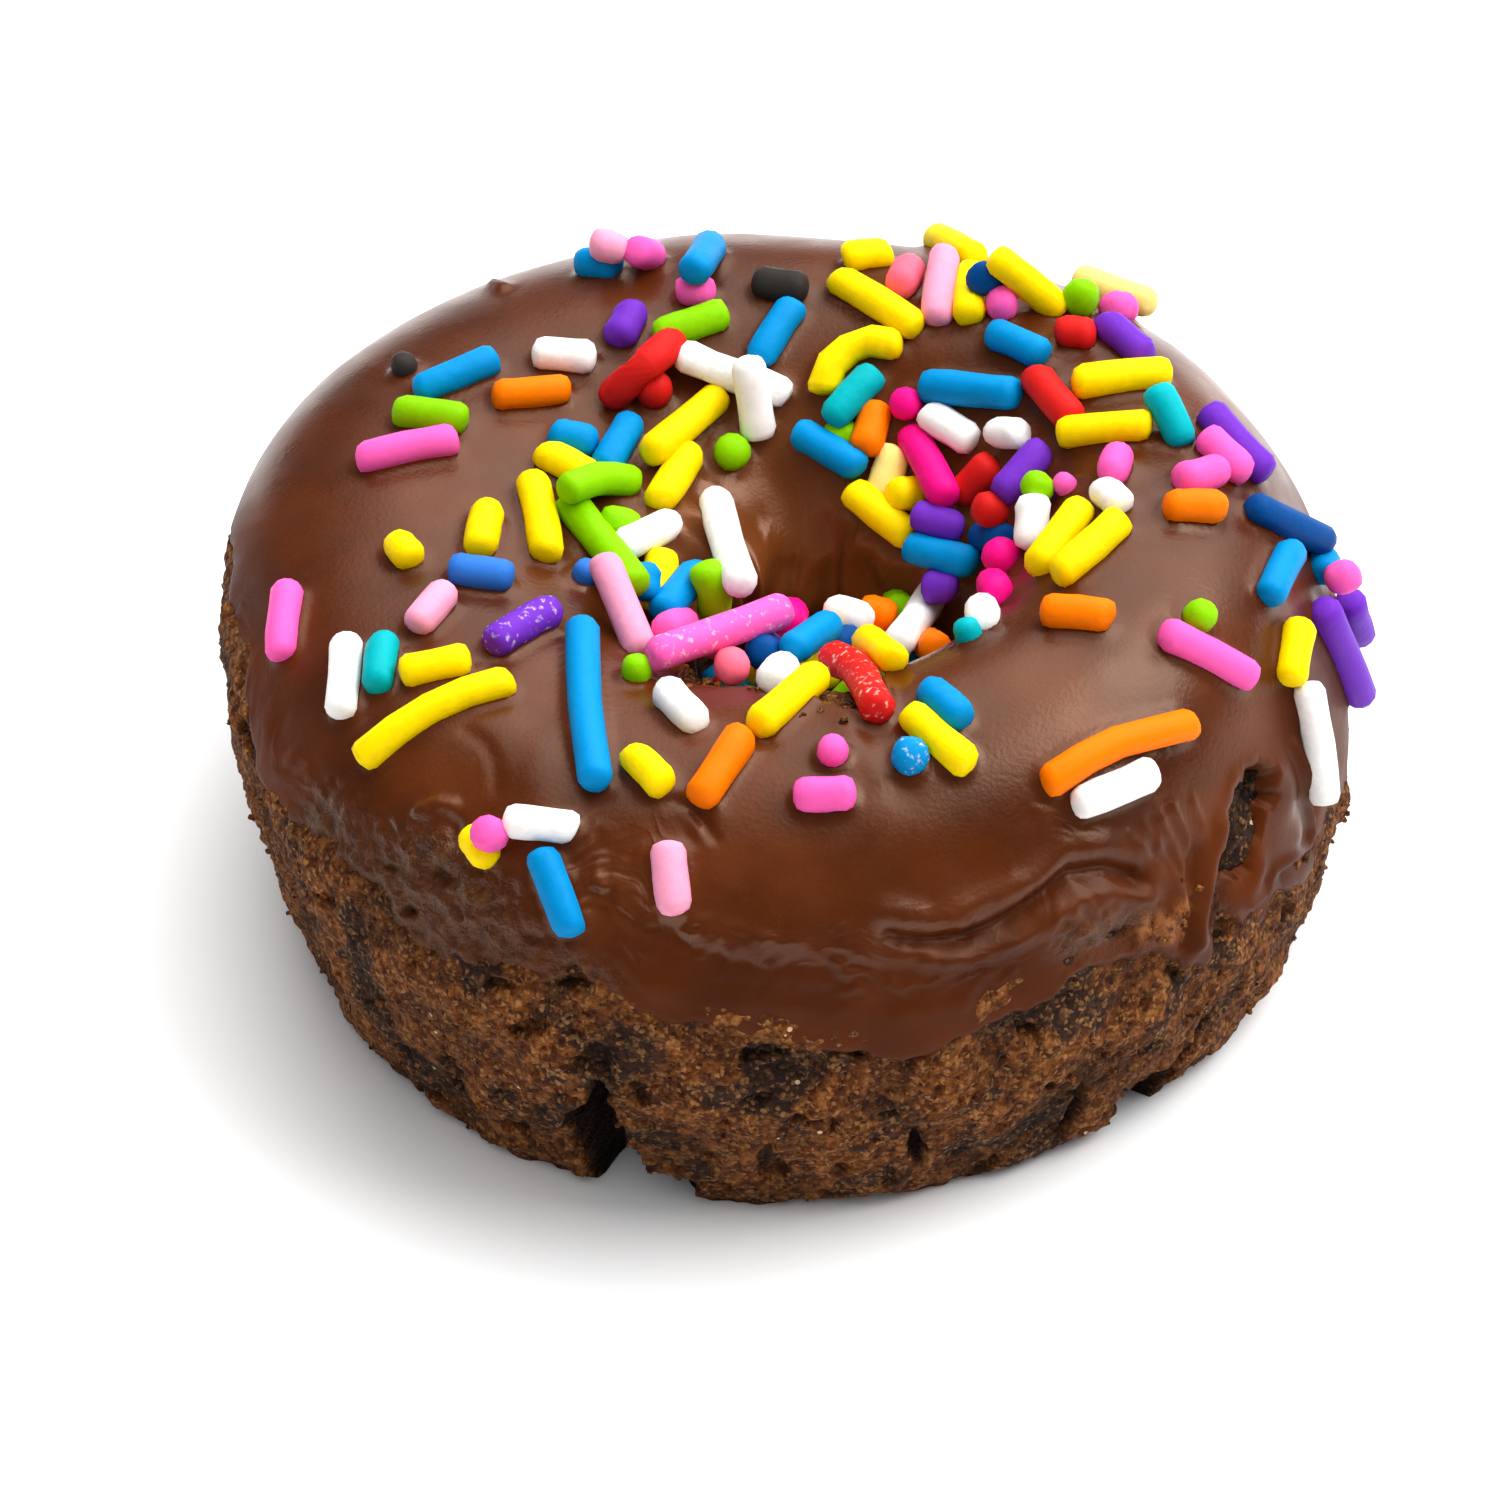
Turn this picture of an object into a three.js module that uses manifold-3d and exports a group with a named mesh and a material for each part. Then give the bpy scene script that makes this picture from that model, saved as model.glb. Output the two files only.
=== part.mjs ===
// A sprinkle frosted doughnut: a ring of chocolate cake with a flat base, the frosting that
// lies over its top and runs down its hole, with sprinkles set in it, and the sprinkles that
// are heaped in the near part of the hole.
// Millimetres, +Z up. The origin is the middle of the base, and the front faces -Y.
// An angle goes round the ring, from +X towards +Y. A turn goes round the ring's section:
// 0 is the widest point outside, 90 the crest, 180 the narrowest point of the hole and 240
// the foot of the hole's wall. Both are in degrees.

import * as THREE from 'three';
import { mergeVertices } from 'three/addons/utils/BufferGeometryUtils.js';
import Module from 'manifold-3d';

// The ring.
const outerRadius = 33;
const outerLobes = [[2, 0.010, -0.015], [3, 0.021, 0.008], [4, -0.004, 0]];  // count, cosine, sine
const hole = { radius: 7.37, x: 2.39, y: -0.29 };
const ringShift = { x: -0.8, y: -0.3 };                   // puts the outline's middle on the origin
const crestHeight = { mean: 27.7, east: 2.65, north: 0.2 };
const widestLevel = { mean: 12.97, east: -4.0, north: 2.0 };
const footTaper = { mean: 3.0, east: -0.8, north: 0, power: 1.37 };  // the side draws in to the base
const holeFlare = 2.0;                                    // how far the hole opens to its foot
const fullness = 2.14;                                    // 2 is an ellipse, more is squarer
const footTurn = 240;

// The frosting.
const skin = { thick: 1.25, edge: 0.6, proud: 0.15, rampTurn: 14 };
const gap = 0.3;                                          // between the frosting and the cake
const sideInset = 0.35;                                   // the bare cake lies inside the frosting
// The frosting's lower edge, as heights at angles round the ring.
const frostingEdge = [
  [0, 15.6], [24, 14.2], [45, 15.4], [66, 14.6], [88, 16.4], [110, 15.6], [133, 17.6],
  [157, 17.0], [178, 19.4], [198, 18.6], [206, 17.4], [220, 16.4], [232, 18.6], [240, 17.4],
  [250, 18.4], [262, 17.4], [272, 16.9], [286, 14.9], [297, 16.8], [309, 17.2], [316, 15.6],
  [324, 13.8], [337, 13.6], [347, 14.0],
];
const holeEdge = { far: 197, near: 124, nearAngle: 268, sharpness: 3 };  // as turns
const ripples = { height: 0.22, rounds: [5, 9], swirl: 3 };
const bareWindow = { angle: 327, turn: 25, wide: 1.3, tall: 2.7, deep: 1.7 };
const windowLip = { radius: 1.1, path: [[337, 30], [336, 21], [333, 12]] };
const peeledFold = { radius: 0.9, path: [[285, 30], [294, 33], [302, 39], [310, 36], [317, 27]] };

// The sprinkles.
const sprinkle = {
  seed: 91, count: 84, spacing: 3.1, fromEdge: 2.4, lastTurn: 158,
  radius: 1.0, sides: 6, dome: 0.35, sunk: 0.5, shortest: 2.4, longest: 9.0,
};

// The heap in the hole. Its core has this outline of [y, z], from the near wall down its slope
// to its free side and back under it. Sprinkles lie on the first three stretches.
const heap = {
  outline: [[-12.5, 24.2], [-7.6, 22.9], [-3.0, 20.1], [-2.4, 14.4], [-8.4, 11.8]],
  laidStretches: 3, laidFrom: -11.4, laidTo: 15.8,       // y of the first, height of the last
  seed: 19, count: 24, spacing: 2.3, longest: 6.2, halfWide: 6.6, lean: 0.45,
  clear: 4.4,                                            // the frosting's sprinkles stay this far off
  roomTurns: [195, 112], levels: 12,
};

// The bare cake's crumb, cracks and chips. A station is [angle, height, half width, depth].
const crumbRelief = 0.3;
const cracks = [
  [[252, 12.2, 0.2, 0.5], [251.5, 9.6, 1.0, 2.2], [250.5, 5, 1.9, 3.0], [252, -1, 1.6, 2.4]],
  [[254, 1.9, 0.9, 1.2], [257, 1.2, 1.5, 1.8], [258, -1, 1.7, 1.6]],
  [[226, 3.0, 0.4, 0.8], [227, 1.2, 0.9, 1.4], [227, -1, 0.9, 1.2]],
  [[303.5, 5.6, 0.2, 0.5], [303.2, 3.4, 0.5, 1.3], [302.6, 1.4, 0.2, 0.5]],
  [[285.6, 8.0, 0.2, 0.5], [285.0, 5.6, 0.5, 1.4], [284.6, 3.2, 0.3, 0.6]],
  [[316.2, 4.8, 0.2, 0.5], [316.8, 2.6, 0.6, 1.3], [317.0, 0.8, 0.2, 0.5]],
  [[309, 1.6, 0.7, 0.9], [311, 1.0, 1.2, 1.3], [311, -1, 1.3, 1.2]],
];

// How finely the ring is faceted.
const anglesRound = 60;
const coveredRows = 10;
const sideRows = 5;
const wallRows = 4;
const finest = 0.03;                                      // smaller detail than this is merged away

const cakeColour = 0x5a3520;
const frostingColour = 0x6b442d;
const heapColour = 0xe65fb4;

const wasm = await Module();
wasm.setup();
const radians = THREE.MathUtils.degToRad;
const blend = THREE.MathUtils.smoothstep;

function seededDraw(seed) {
  let state = seed;
  return () => {
    state = (state + 0x6d2b79f5) | 0;
    let mixed = Math.imul(state ^ (state >>> 15), 1 | state);
    mixed = (mixed + Math.imul(mixed ^ (mixed >>> 7), 61 | mixed)) ^ mixed;
    return ((mixed ^ (mixed >>> 14)) >>> 0) / 4294967296;
  };
}

const leaning = ({ mean, east, north }, angle) =>
  mean + east * Math.cos(radians(angle)) + north * Math.sin(radians(angle));

// The ring's section at an angle: where it starts and ends, and its levels.
function sectionAt(angle) {
  const turnRound = radians(angle);
  const lobes = outerLobes.map(([count, cosine, sine]) =>
    cosine * Math.cos(count * turnRound) + sine * Math.sin(count * turnRound));
  const outside = outerRadius * lobes.reduce((sum, lobe) => sum + lobe, 1);
  const along = hole.x * Math.cos(turnRound) + hole.y * Math.sin(turnRound);
  const inside = along + Math.sqrt(hole.radius ** 2 - hole.x ** 2 - hole.y ** 2 + along ** 2);
  return {
    outside,
    inside,
    middle: (outside + inside) / 2,
    halfWidth: (outside - inside) / 2,
    crest: leaning(crestHeight, angle),
    widest: leaning(widestLevel, angle),
    taper: leaning(footTaper, angle),
  };
}

// A point of the section and the way out from it, as [radius, height] pairs.
function formAt(section, turn) {
  if (turn > 180) {
    const down = (turn - 180) / (footTurn - 180);
    return {
      at: [section.inside + holeFlare * down ** 2, section.widest * (1 - down)],
      out: [-1, 0],
    };
  }
  const rise = section.crest - section.widest;
  const across = Math.abs(Math.cos(radians(turn))) ** (2 / fullness);
  const up = Math.sin(radians(turn)) ** (2 / fullness);
  const side = turn < 90 ? 1 : -1;
  const slope = [side * across ** (fullness - 1) / section.halfWidth, up ** (fullness - 1) / rise];
  const length = Math.hypot(...slope);
  return {
    at: [section.middle + side * section.halfWidth * across, section.widest + rise * up],
    out: [slope[0] / length, slope[1] / length],
  };
}

// The ring's outside radius at a height.
function sideRadius(section, height) {
  if (height < section.widest) {
    return section.outside - section.taper * (1 - height / section.widest) ** footTaper.power;
  }
  const up = (height - section.widest) / (section.crest - section.widest);
  return section.middle + section.halfWidth * (1 - up ** fullness) ** (1 / fullness);
}

const inward = ({ at, out }, depth) => [at[0] - out[0] * depth, at[1] - out[1] * depth];

function edgeHeight(angle) {
  const after = frostingEdge.findIndex(([at]) => at > angle);
  const next = after < 0 ? 0 : after;
  const [fromAngle, fromHeight] = frostingEdge.at(next - 1);
  const [toAngle, toHeight] = frostingEdge[next];
  const span = (toAngle - fromAngle + 360) % 360;
  const share = blend(((angle - fromAngle + 360) % 360) / span, 0, 1);
  return fromHeight + (toHeight - fromHeight) * share;
}

// The turns between which the frosting lies at an angle.
function frostedTurns(angle, section) {
  const up = (edgeHeight(angle) - section.widest) / (section.crest - section.widest);
  const from = THREE.MathUtils.radToDeg(Math.asin(Math.max(up, 0.02) ** (fullness / 2)));
  const near = (0.5 + 0.5 * Math.cos(radians(angle - holeEdge.nearAngle))) ** holeEdge.sharpness;
  return [from, holeEdge.far + (holeEdge.near - holeEdge.far) * near];
}

// How deep the frosting's underside lies, thin at its edges and full further in.
function undersideDepth(turn, [from, to]) {
  const fromEdge = Math.min(turn - from, to - turn);
  const edgeDepth = skin.edge - skin.proud;
  return edgeDepth + (skin.thick - edgeDepth) * blend(fromEdge, 0, skin.rampTurn);
}

const rippleAt = (angle, turn) => ripples.rounds.reduce((sum, rounds, step) =>
  sum + Math.sin(radians(rounds * angle + (step + 1) * ripples.swirl * turn)), 0) / 2;

// Closes rings of [radius, height] pairs, one for each angle, into a solid's geometry.
function ringGeometry(rings) {
  const positions = rings.flatMap((ring, step) => ring.flatMap(([radius, height]) => {
    const turnRound = (2 * Math.PI * step) / rings.length;
    return [radius * Math.cos(turnRound), radius * Math.sin(turnRound), height];
  }));
  const rows = rings[0].length;
  const indices = [];
  for (let step = 0; step < rings.length; step++) {
    for (let row = 0; row < rows; row++) {
      const here = step * rows;
      const there = ((step + 1) % rings.length) * rows;
      const next = (row + 1) % rows;
      indices.push(here + row, there + row, there + next, here + row, there + next, here + next);
    }
  }
  return indexedGeometry(positions, indices);
}

function indexedGeometry(positions, indices) {
  const geometry = new THREE.BufferGeometry();
  geometry.setAttribute('position', new THREE.Float32BufferAttribute(positions, 3));
  geometry.setIndex(indices);
  return geometry;
}

function toSolid(geometry) {
  const bare = new THREE.BufferGeometry();
  bare.setAttribute('position', geometry.getAttribute('position'));
  bare.setIndex(geometry.getIndex());
  const merged = mergeVertices(bare, 1e-5);
  return new wasm.Manifold(new wasm.Mesh({
    numProp: 3,
    vertProperties: new Float32Array(merged.getAttribute('position').array),
    triVerts: new Uint32Array(merged.getIndex().array),
  }));
}

// The outer shell alone: pockets that joining sealed are filled, and loose scraps dropped.
function outerShell(solid) {
  return solid.decompose().reduce((most, shell) => (shell.volume() > most.volume() ? shell : most));
}

function toMesh(name, solid, material) {
  const { vertProperties, triVerts } = outerShell(solid).simplify(finest).getMesh();
  const mesh = new THREE.Mesh(indexedGeometry(vertProperties, [...triVerts]), material);
  mesh.geometry.computeVertexNormals();
  mesh.name = name;
  return mesh;
}

const ringAngles = Array.from({ length: anglesRound }, (_, step) => (360 * step) / anglesRound);
const shares = (count) => Array.from({ length: count }, (_, step) => step / count);

// The cake: bare at the side and low in the hole, drawn in under the frosting.
function cakeSection(angle, crumb) {
  const section = sectionAt(angle);
  const [from, to] = frostedTurns(angle, section);
  const tucked = skin.edge - skin.proud + gap;
  const crumbly = (inset, scale) => inset + crumbRelief * scale * (2 * crumb() - 1);
  const top = edgeHeight(angle) - 0.8;
  const side = shares(sideRows).map((share) =>
    [sideRadius(section, top * share) - crumbly(sideInset, share > 0 ? 1 : 0.3), top * share]);
  side.push([sideRadius(section, top) - crumbly(tucked - 0.1, 0.2), top]);
  const covered = [...shares(coveredRows), 1].map((share) => {
    const turn = from + (to - from) * share;
    return inward(formAt(section, turn), undersideDepth(turn, [from, to]) + gap);
  });
  const wall = shares(wallRows).map((share) => {
    const turn = to + 4 + (footTurn - to - 4) * share;
    return inward(formAt(section, turn), share > 0 ? crumbly(sideInset, 0.8) : tucked);
  });
  const foot = formAt(section, footTurn).at[0] + sideInset;
  return [...side, ...covered, ...wall, [foot, 0]];
}

// A tapering wedge that follows a crack down the side, three points at each station.
function crackSolid(stations) {
  const positions = stations.flatMap(([angle, height, halfWidth, depth]) => {
    const surface = sideRadius(sectionAt(angle), Math.max(height, 0)) - sideInset;
    const way = new THREE.Vector3(Math.cos(radians(angle)), Math.sin(radians(angle)), 0);
    const across = new THREE.Vector3(-way.y, way.x, 0);
    const mouth = surface + 1;
    const mouthHalf = halfWidth * (1 + 1 / depth);
    return [[mouth, mouthHalf], [mouth, -mouthHalf], [surface - depth, 0]].flatMap(([out, aside]) => {
      const corner = way.clone().multiplyScalar(out).addScaledVector(across, aside);
      return [corner.x, corner.y, height];
    });
  });
  const last = 3 * (stations.length - 1);
  const indices = [0, 2, 1, last, last + 1, last + 2];
  for (let low = 0; low < last; low += 3) {
    for (let corner = 0; corner < 3; corner++) {
      const next = (corner + 1) % 3;
      indices.push(low + corner, low + next, low + 3 + next);
      indices.push(low + corner, low + 3 + next, low + 3 + corner);
    }
  }
  return toSolid(indexedGeometry(positions, indices));
}

function cake() {
  const crumb = seededDraw(41);
  const ring = toSolid(ringGeometry(ringAngles.map((angle) => cakeSection(angle, crumb))));
  const cut = cracks.reduce((solid, stations) => solid.subtract(crackSolid(stations)), ring);
  const material = new THREE.MeshStandardMaterial({ color: cakeColour, roughness: 0.95 });
  return toMesh('cake', cut, material);
}

function frostingSection(angle) {
  const section = sectionAt(angle);
  const turns = frostedTurns(angle, section);
  const [from, to] = turns;
  const turnsAcross = [...shares(coveredRows), 1].map((share) => from + (to - from) * share);
  const top = turnsAcross.map((turn) => {
    const inside = blend(Math.min(turn - from, to - turn), 0, skin.rampTurn);
    return inward(formAt(section, turn), -skin.proud - ripples.height * inside * rippleAt(angle, turn));
  });
  const under = turnsAcross.map((turn) =>
    inward(formAt(section, turn), undersideDepth(turn, turns))).reverse();
  const rounded = (turn) => inward(formAt(section, turn), skin.edge / 2 - skin.proud);
  const lowEdge = rounded(Math.max(from - 1.2, 0.5));
  return [...top, rounded(to + 1.5), ...under, lowEdge];
}

function surfacePoint(angle, turn, depth = 0) {
  const [radius, height] = inward(formAt(sectionAt(angle), turn), depth);
  return new THREE.Vector3(radius * Math.cos(radians(angle)), radius * Math.sin(radians(angle)), height);
}

// How far a point stands off the ring's form, found from the form's slope there.
function standOff(point) {
  const section = sectionAt(THREE.MathUtils.radToDeg(Math.atan2(point.y, point.x)));
  const rise = section.crest - section.widest;
  const level = (radius, height) => (
    (Math.abs(radius - section.middle) / section.halfWidth) ** fullness
    + (Math.max(height - section.widest, 0) / rise) ** fullness) ** (1 / fullness) - 1;
  const radius = Math.hypot(point.x, point.y);
  const here = level(radius, point.z);
  const step = 0.01;
  const slope = Math.hypot(level(radius + step, point.z) - here, level(radius, point.z + step) - here);
  return (here * step) / slope;
}

// A roll of frosting along a path of [angle, turn] points, thin at its ends.
function rollSolid({ radius, path }) {
  const curve = new THREE.CatmullRomCurve3(path.map(([angle, turn]) => surfacePoint(angle, turn, 0.1)));
  const steps = 3 * (path.length - 1);
  const sides = 6;
  const frames = curve.computeFrenetFrames(steps);
  const positions = [];
  for (let step = 0; step <= steps; step++) {
    const centre = curve.getPointAt(step / steps);
    const thick = radius * (0.25 + 0.75 * Math.sin((Math.PI * (step + 0.5)) / (steps + 1)));
    for (let side = 0; side < sides; side++) {
      const turnRound = (2 * Math.PI * side) / sides;
      const corner = centre.clone()
        .addScaledVector(frames.normals[step], thick * Math.cos(turnRound))
        .addScaledVector(frames.binormals[step], thick * Math.sin(turnRound));
      positions.push(corner.x, corner.y, corner.z);
    }
  }
  const indices = [];
  for (let step = 0; step < steps; step++) {
    for (let side = 0; side < sides; side++) {
      const here = step * sides + side;
      const beside = step * sides + ((side + 1) % sides);
      indices.push(here, beside, beside + sides, here, beside + sides, here + sides);
    }
  }
  const last = steps * sides;
  for (let side = 1; side < sides - 1; side++) {
    indices.push(0, side + 1, side, last, last + side, last + side + 1);
  }
  return toSolid(indexedGeometry(positions, indices));
}

function windowCut() {
  const { angle, turn, wide, tall, deep } = bareWindow;
  const geometry = new THREE.SphereGeometry(1, 10, 6);
  const out = surfacePoint(angle, turn, -1).sub(surfacePoint(angle, turn));
  const along = surfacePoint(angle, turn + 1).sub(surfacePoint(angle, turn - 1)).normalize();
  const across = new THREE.Vector3().crossVectors(along, out).normalize();
  const placed = new THREE.Matrix4()
    .makeBasis(across.multiplyScalar(wide), along.multiplyScalar(tall), out.multiplyScalar(deep))
    .setPosition(surfacePoint(angle, turn));
  return toSolid(geometry.applyMatrix4(placed));
}

function sprinkleGeometry(length) {
  const { radius, sides, dome } = sprinkle;
  const end = length / 2;
  const profile = [[0, -end], [radius, dome - end], [radius, end - dome], [0, end]];
  return new THREE.LatheGeometry(profile.map(([x, y]) => new THREE.Vector2(x, y)), sides);
}

// Sprinkles lie thickest round the hole and towards the back, and few lie at the front.
function sprinkleShare(angle, turn) {
  const backward = 0.5 + 0.5 * Math.cos(radians(angle - 65));
  return 0.12 + 0.48 * backward + 0.4 * blend(turn, 60, 130);
}

// A sprinkle lies along the surface, let down until its lowest part is in the frosting.
function laidSprinkle(angle, turn, heading, length) {
  const centre = surfacePoint(angle, turn);
  const out = surfacePoint(angle, turn, -1).sub(centre);
  const round = new THREE.Vector3(-Math.sin(radians(angle)), Math.cos(radians(angle)), 0);
  const along = new THREE.Vector3().crossVectors(out, round).normalize();
  const way = round.clone().multiplyScalar(Math.cos(heading)).addScaledVector(along, Math.sin(heading));
  const reach = length / 2 - sprinkle.radius;
  const lowest = Math.min(...[-1, -0.5, 0, 0.5, 1].map((share) =>
    standOff(centre.clone().addScaledVector(way, share * reach))));
  const lift = sprinkle.radius - sprinkle.sunk - lowest;
  const placed = new THREE.Matrix4()
    .makeBasis(new THREE.Vector3().crossVectors(way, out).normalize(), way, out)
    .setPosition(centre.clone().addScaledVector(out, lift));
  const ends = [-reach, reach].map((far) => centre.clone().addScaledVector(way, far));
  return { centre, lift, placed, ends };
}

// Both ends lie well inside the frosting's outer edge and its edge in the hole, and clear of
// the heap.
const clearOfEdges = ({ ends }) => ends.every((end) => {
  const fromHole = Math.hypot(end.x - hole.x, end.y - hole.y);
  if (fromHole < hole.radius + heap.clear && end.y < heap.clear) return false;
  const angle = (THREE.MathUtils.radToDeg(Math.atan2(end.y, end.x)) + 360) % 360;
  const section = sectionAt(angle);
  if (Math.hypot(end.x, end.y) > section.middle) return end.z > edgeHeight(angle) + sprinkle.fromEdge;
  return end.z > formAt(section, frostedTurns(angle, section)[1]).at[1] + sprinkle.fromEdge;
});

function sprinkleSolids() {
  const draw = seededDraw(sprinkle.seed);
  const kept = [];
  while (kept.length < sprinkle.count) {
    const angle = 360 * draw();
    const [from, to] = frostedTurns(angle, sectionAt(angle));
    const turn = THREE.MathUtils.lerp(from + 14, Math.min(to - 8, sprinkle.lastTurn), draw());
    const heading = Math.PI * draw();
    // The largest come first.
    const smaller = THREE.MathUtils.clamp(kept.length / sprinkle.count + 0.3 * (draw() - 0.5), 0, 1);
    const length = THREE.MathUtils.lerp(sprinkle.longest, sprinkle.shortest, smaller);
    if (draw() > sprinkleShare(angle, turn)) continue;
    const laid = laidSprinkle(angle, turn, heading, length);
    const crowded = kept.some(({ centre }) => centre.distanceTo(laid.centre) < sprinkle.spacing);
    if (crowded || laid.lift > 1.3 || !clearOfEdges(laid)) continue;
    kept.push({ ...laid, length });
  }
  return kept.map(({ placed, length }) => toSolid(sprinkleGeometry(length).applyMatrix4(placed)));
}

function frosting() {
  const ring = toSolid(ringGeometry(ringAngles.map(frostingSection)));
  const added = [rollSolid(windowLip), rollSolid(peeledFold), ...sprinkleSolids()];
  const joined = added.reduce((solid, piece) => solid.add(piece), ring).subtract(windowCut());
  const material = new THREE.MeshStandardMaterial({ color: frostingColour, roughness: 0.35 });
  return toMesh('frosting', joined, material);
}

// The room in the hole between two turns, clear of the cake and of the frosting.
function holeRoom(lowTurn, highTurn) {
  const geometry = new THREE.CylinderGeometry(1, 1, 1, anglesRound / 2, heap.levels);
  const places = geometry.getAttribute('position');
  for (let index = 0; index < places.count; index++) {
    const [x, y] = [places.getX(index), -places.getZ(index)];
    const angle = THREE.MathUtils.radToDeg(Math.atan2(y, x));
    const section = sectionAt(angle);
    const turn = THREE.MathUtils.lerp(lowTurn, highTurn, places.getY(index) + 0.5);
    const frosted = turn < frostedTurns(angle, section)[1] + 5 ? skin.proud + ripples.height : 0;
    const [radius, height] = inward(formAt(section, turn), -gap - frosted);
    places.setXYZ(index, x * radius, y * radius, height);
  }
  return toSolid(geometry);
}

function heapCore() {
  const outline = new THREE.Shape(heap.outline.map(([y, z]) => new THREE.Vector2(y, z)));
  const across = 4 * heap.halfWide;
  const geometry = new THREE.ExtrudeGeometry(outline, { depth: across, bevelEnabled: false });
  const placed = new THREE.Matrix4()
    .makeBasis(new THREE.Vector3(0, 1, 0), new THREE.Vector3(0, 0, 1), new THREE.Vector3(1, 0, 0))
    .setPosition(hole.x - across / 2, 0, 0);
  return toSolid(geometry.applyMatrix4(placed));
}

// The heap's sprinkles lie at all headings on its slope and down its free side.
function heapedSolids() {
  const draw = seededDraw(heap.seed);
  const slope = new THREE.CurvePath();
  const laid = heap.outline.slice(0, heap.laidStretches + 1);
  const corners = laid.map(([y, z]) => new THREE.Vector3(0, y, z));
  corners.slice(1).forEach((corner, step) => slope.add(new THREE.LineCurve3(corners[step], corner)));
  const kept = [];
  while (kept.length < heap.count) {
    const share = draw();
    const centre = slope.getPointAt(share);
    const down = slope.getTangentAt(share);
    centre.x = hole.x + heap.halfWide * (2 * draw() - 1);
    const heading = Math.PI * draw();
    const length = THREE.MathUtils.lerp(heap.longest, sprinkle.shortest, kept.length / heap.count);
    const out = new THREE.Vector3(0, -down.z, down.y);
    const lean = heap.lean * (2 * draw() - 1);
    const way = new THREE.Vector3(Math.cos(heading), 0, 0).addScaledVector(down, Math.sin(heading))
      .addScaledVector(out, lean).normalize();
    centre.addScaledVector(out, sprinkle.radius - sprinkle.sunk);
    const crowded = kept.some((other) => other.centre.distanceTo(centre) < heap.spacing);
    if (crowded || centre.y < heap.laidFrom || centre.z < heap.laidTo) continue;
    const turned = new THREE.Quaternion().setFromUnitVectors(new THREE.Vector3(0, 1, 0), way);
    const placed = new THREE.Matrix4().makeRotationFromQuaternion(turned).setPosition(centre);
    kept.push({ centre, solid: toSolid(sprinkleGeometry(length).applyMatrix4(placed)) });
  }
  return kept.map(({ solid }) => solid);
}

function sprinkleHeap() {
  const room = holeRoom(...heap.roomTurns);
  const joined = heapedSolids().reduce((solid, piece) => solid.add(piece), heapCore());
  const material = new THREE.MeshStandardMaterial({ color: heapColour, roughness: 0.45 });
  return toMesh('sprinkle_heap', joined.intersect(room), material);
}

const doughnut = new THREE.Group();
doughnut.add(cake(), frosting(), sprinkleHeap());
doughnut.position.set(ringShift.x, ringShift.y, 0);

export default doughnut;
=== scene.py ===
import math
import random

import bpy
import numpy as np
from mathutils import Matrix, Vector, noise
from mathutils.bvhtree import BVHTree
from mathutils.kdtree import KDTree


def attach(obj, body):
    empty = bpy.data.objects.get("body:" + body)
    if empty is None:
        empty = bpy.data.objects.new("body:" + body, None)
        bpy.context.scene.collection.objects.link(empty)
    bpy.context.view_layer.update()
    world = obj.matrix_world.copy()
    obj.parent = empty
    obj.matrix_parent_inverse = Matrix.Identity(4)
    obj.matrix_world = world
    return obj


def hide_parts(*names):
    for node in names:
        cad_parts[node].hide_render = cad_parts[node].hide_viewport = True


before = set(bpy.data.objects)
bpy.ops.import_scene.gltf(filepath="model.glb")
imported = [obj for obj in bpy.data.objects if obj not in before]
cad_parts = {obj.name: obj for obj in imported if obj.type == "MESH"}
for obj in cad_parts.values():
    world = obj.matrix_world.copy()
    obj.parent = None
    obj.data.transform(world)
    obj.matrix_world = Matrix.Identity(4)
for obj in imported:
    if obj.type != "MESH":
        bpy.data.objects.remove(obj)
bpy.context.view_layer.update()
print("frame loaded:", sorted(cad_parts))

# Lengths are worked out in millimetres and put into the meshes in metres.
# An angle runs round the ring from +X towards +Y, in degrees. A turn runs round the ring's section:
# -60 foot of the side, 0 widest, 90 crest, 180 narrowest of the hole, 240 foot of the hole's wall.
toMetres = 0.001
footTurn, lastTurn = -60.0, 240.0


def smooth(low, high, value):
    share = np.clip((value - low) / (high - low), 0.0, 1.0)
    return share * share * (3 - 2 * share)


def bellCurve(away, halfWide):
    return np.exp(-(away / halfWide) ** 2)


def paint(hexColour):  # sRGB hex to linear
    parts = [int(hexColour[i:i + 2], 16) / 255 for i in (1, 3, 5)]
    return (*[p / 12.92 if p <= 0.04045 else ((p + 0.055) / 1.055) ** 2.4 for p in parts], 1.0)


def scattered(points, size, shift, pattern):  # a pattern looked up at each point
    flat = (points.reshape(-1, 3) / size + shift).tolist()
    return np.array([pattern(p) for p in flat]).reshape(points.shape[:-1])


def noiseAt(points, size, shift=0.0):  # soft noise, lumps of `size` mm
    return scattered(points, size, shift, noise.noise)


def cellsAt(points, size, shift):  # distance to the nearest of seeded grains
    return scattered(points, size, shift, lambda p: noise.voronoi(p)[0][0])


def noiseVectors(points, size, shifts):
    return np.stack([noiseAt(points, size, shift) for shift in shifts], -1)


def pathDistance(points, path):  # mm from each point to a line of points
    best = np.full(points.shape[:-1], 1e9)
    for start, end in zip(path[:-1], path[1:]):
        along = end - start
        share = np.clip(((points - start) @ along) / max(along @ along, 1e-9), 0, 1)
        best = np.minimum(best, np.linalg.norm(points - start - share[..., None] * along, axis=-1))
    return best


def deselectAll():
    if bpy.context.object and bpy.context.object.mode != "OBJECT":
        bpy.ops.object.mode_set(mode="OBJECT")
    bpy.ops.object.select_all(action="DESELECT")


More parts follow.
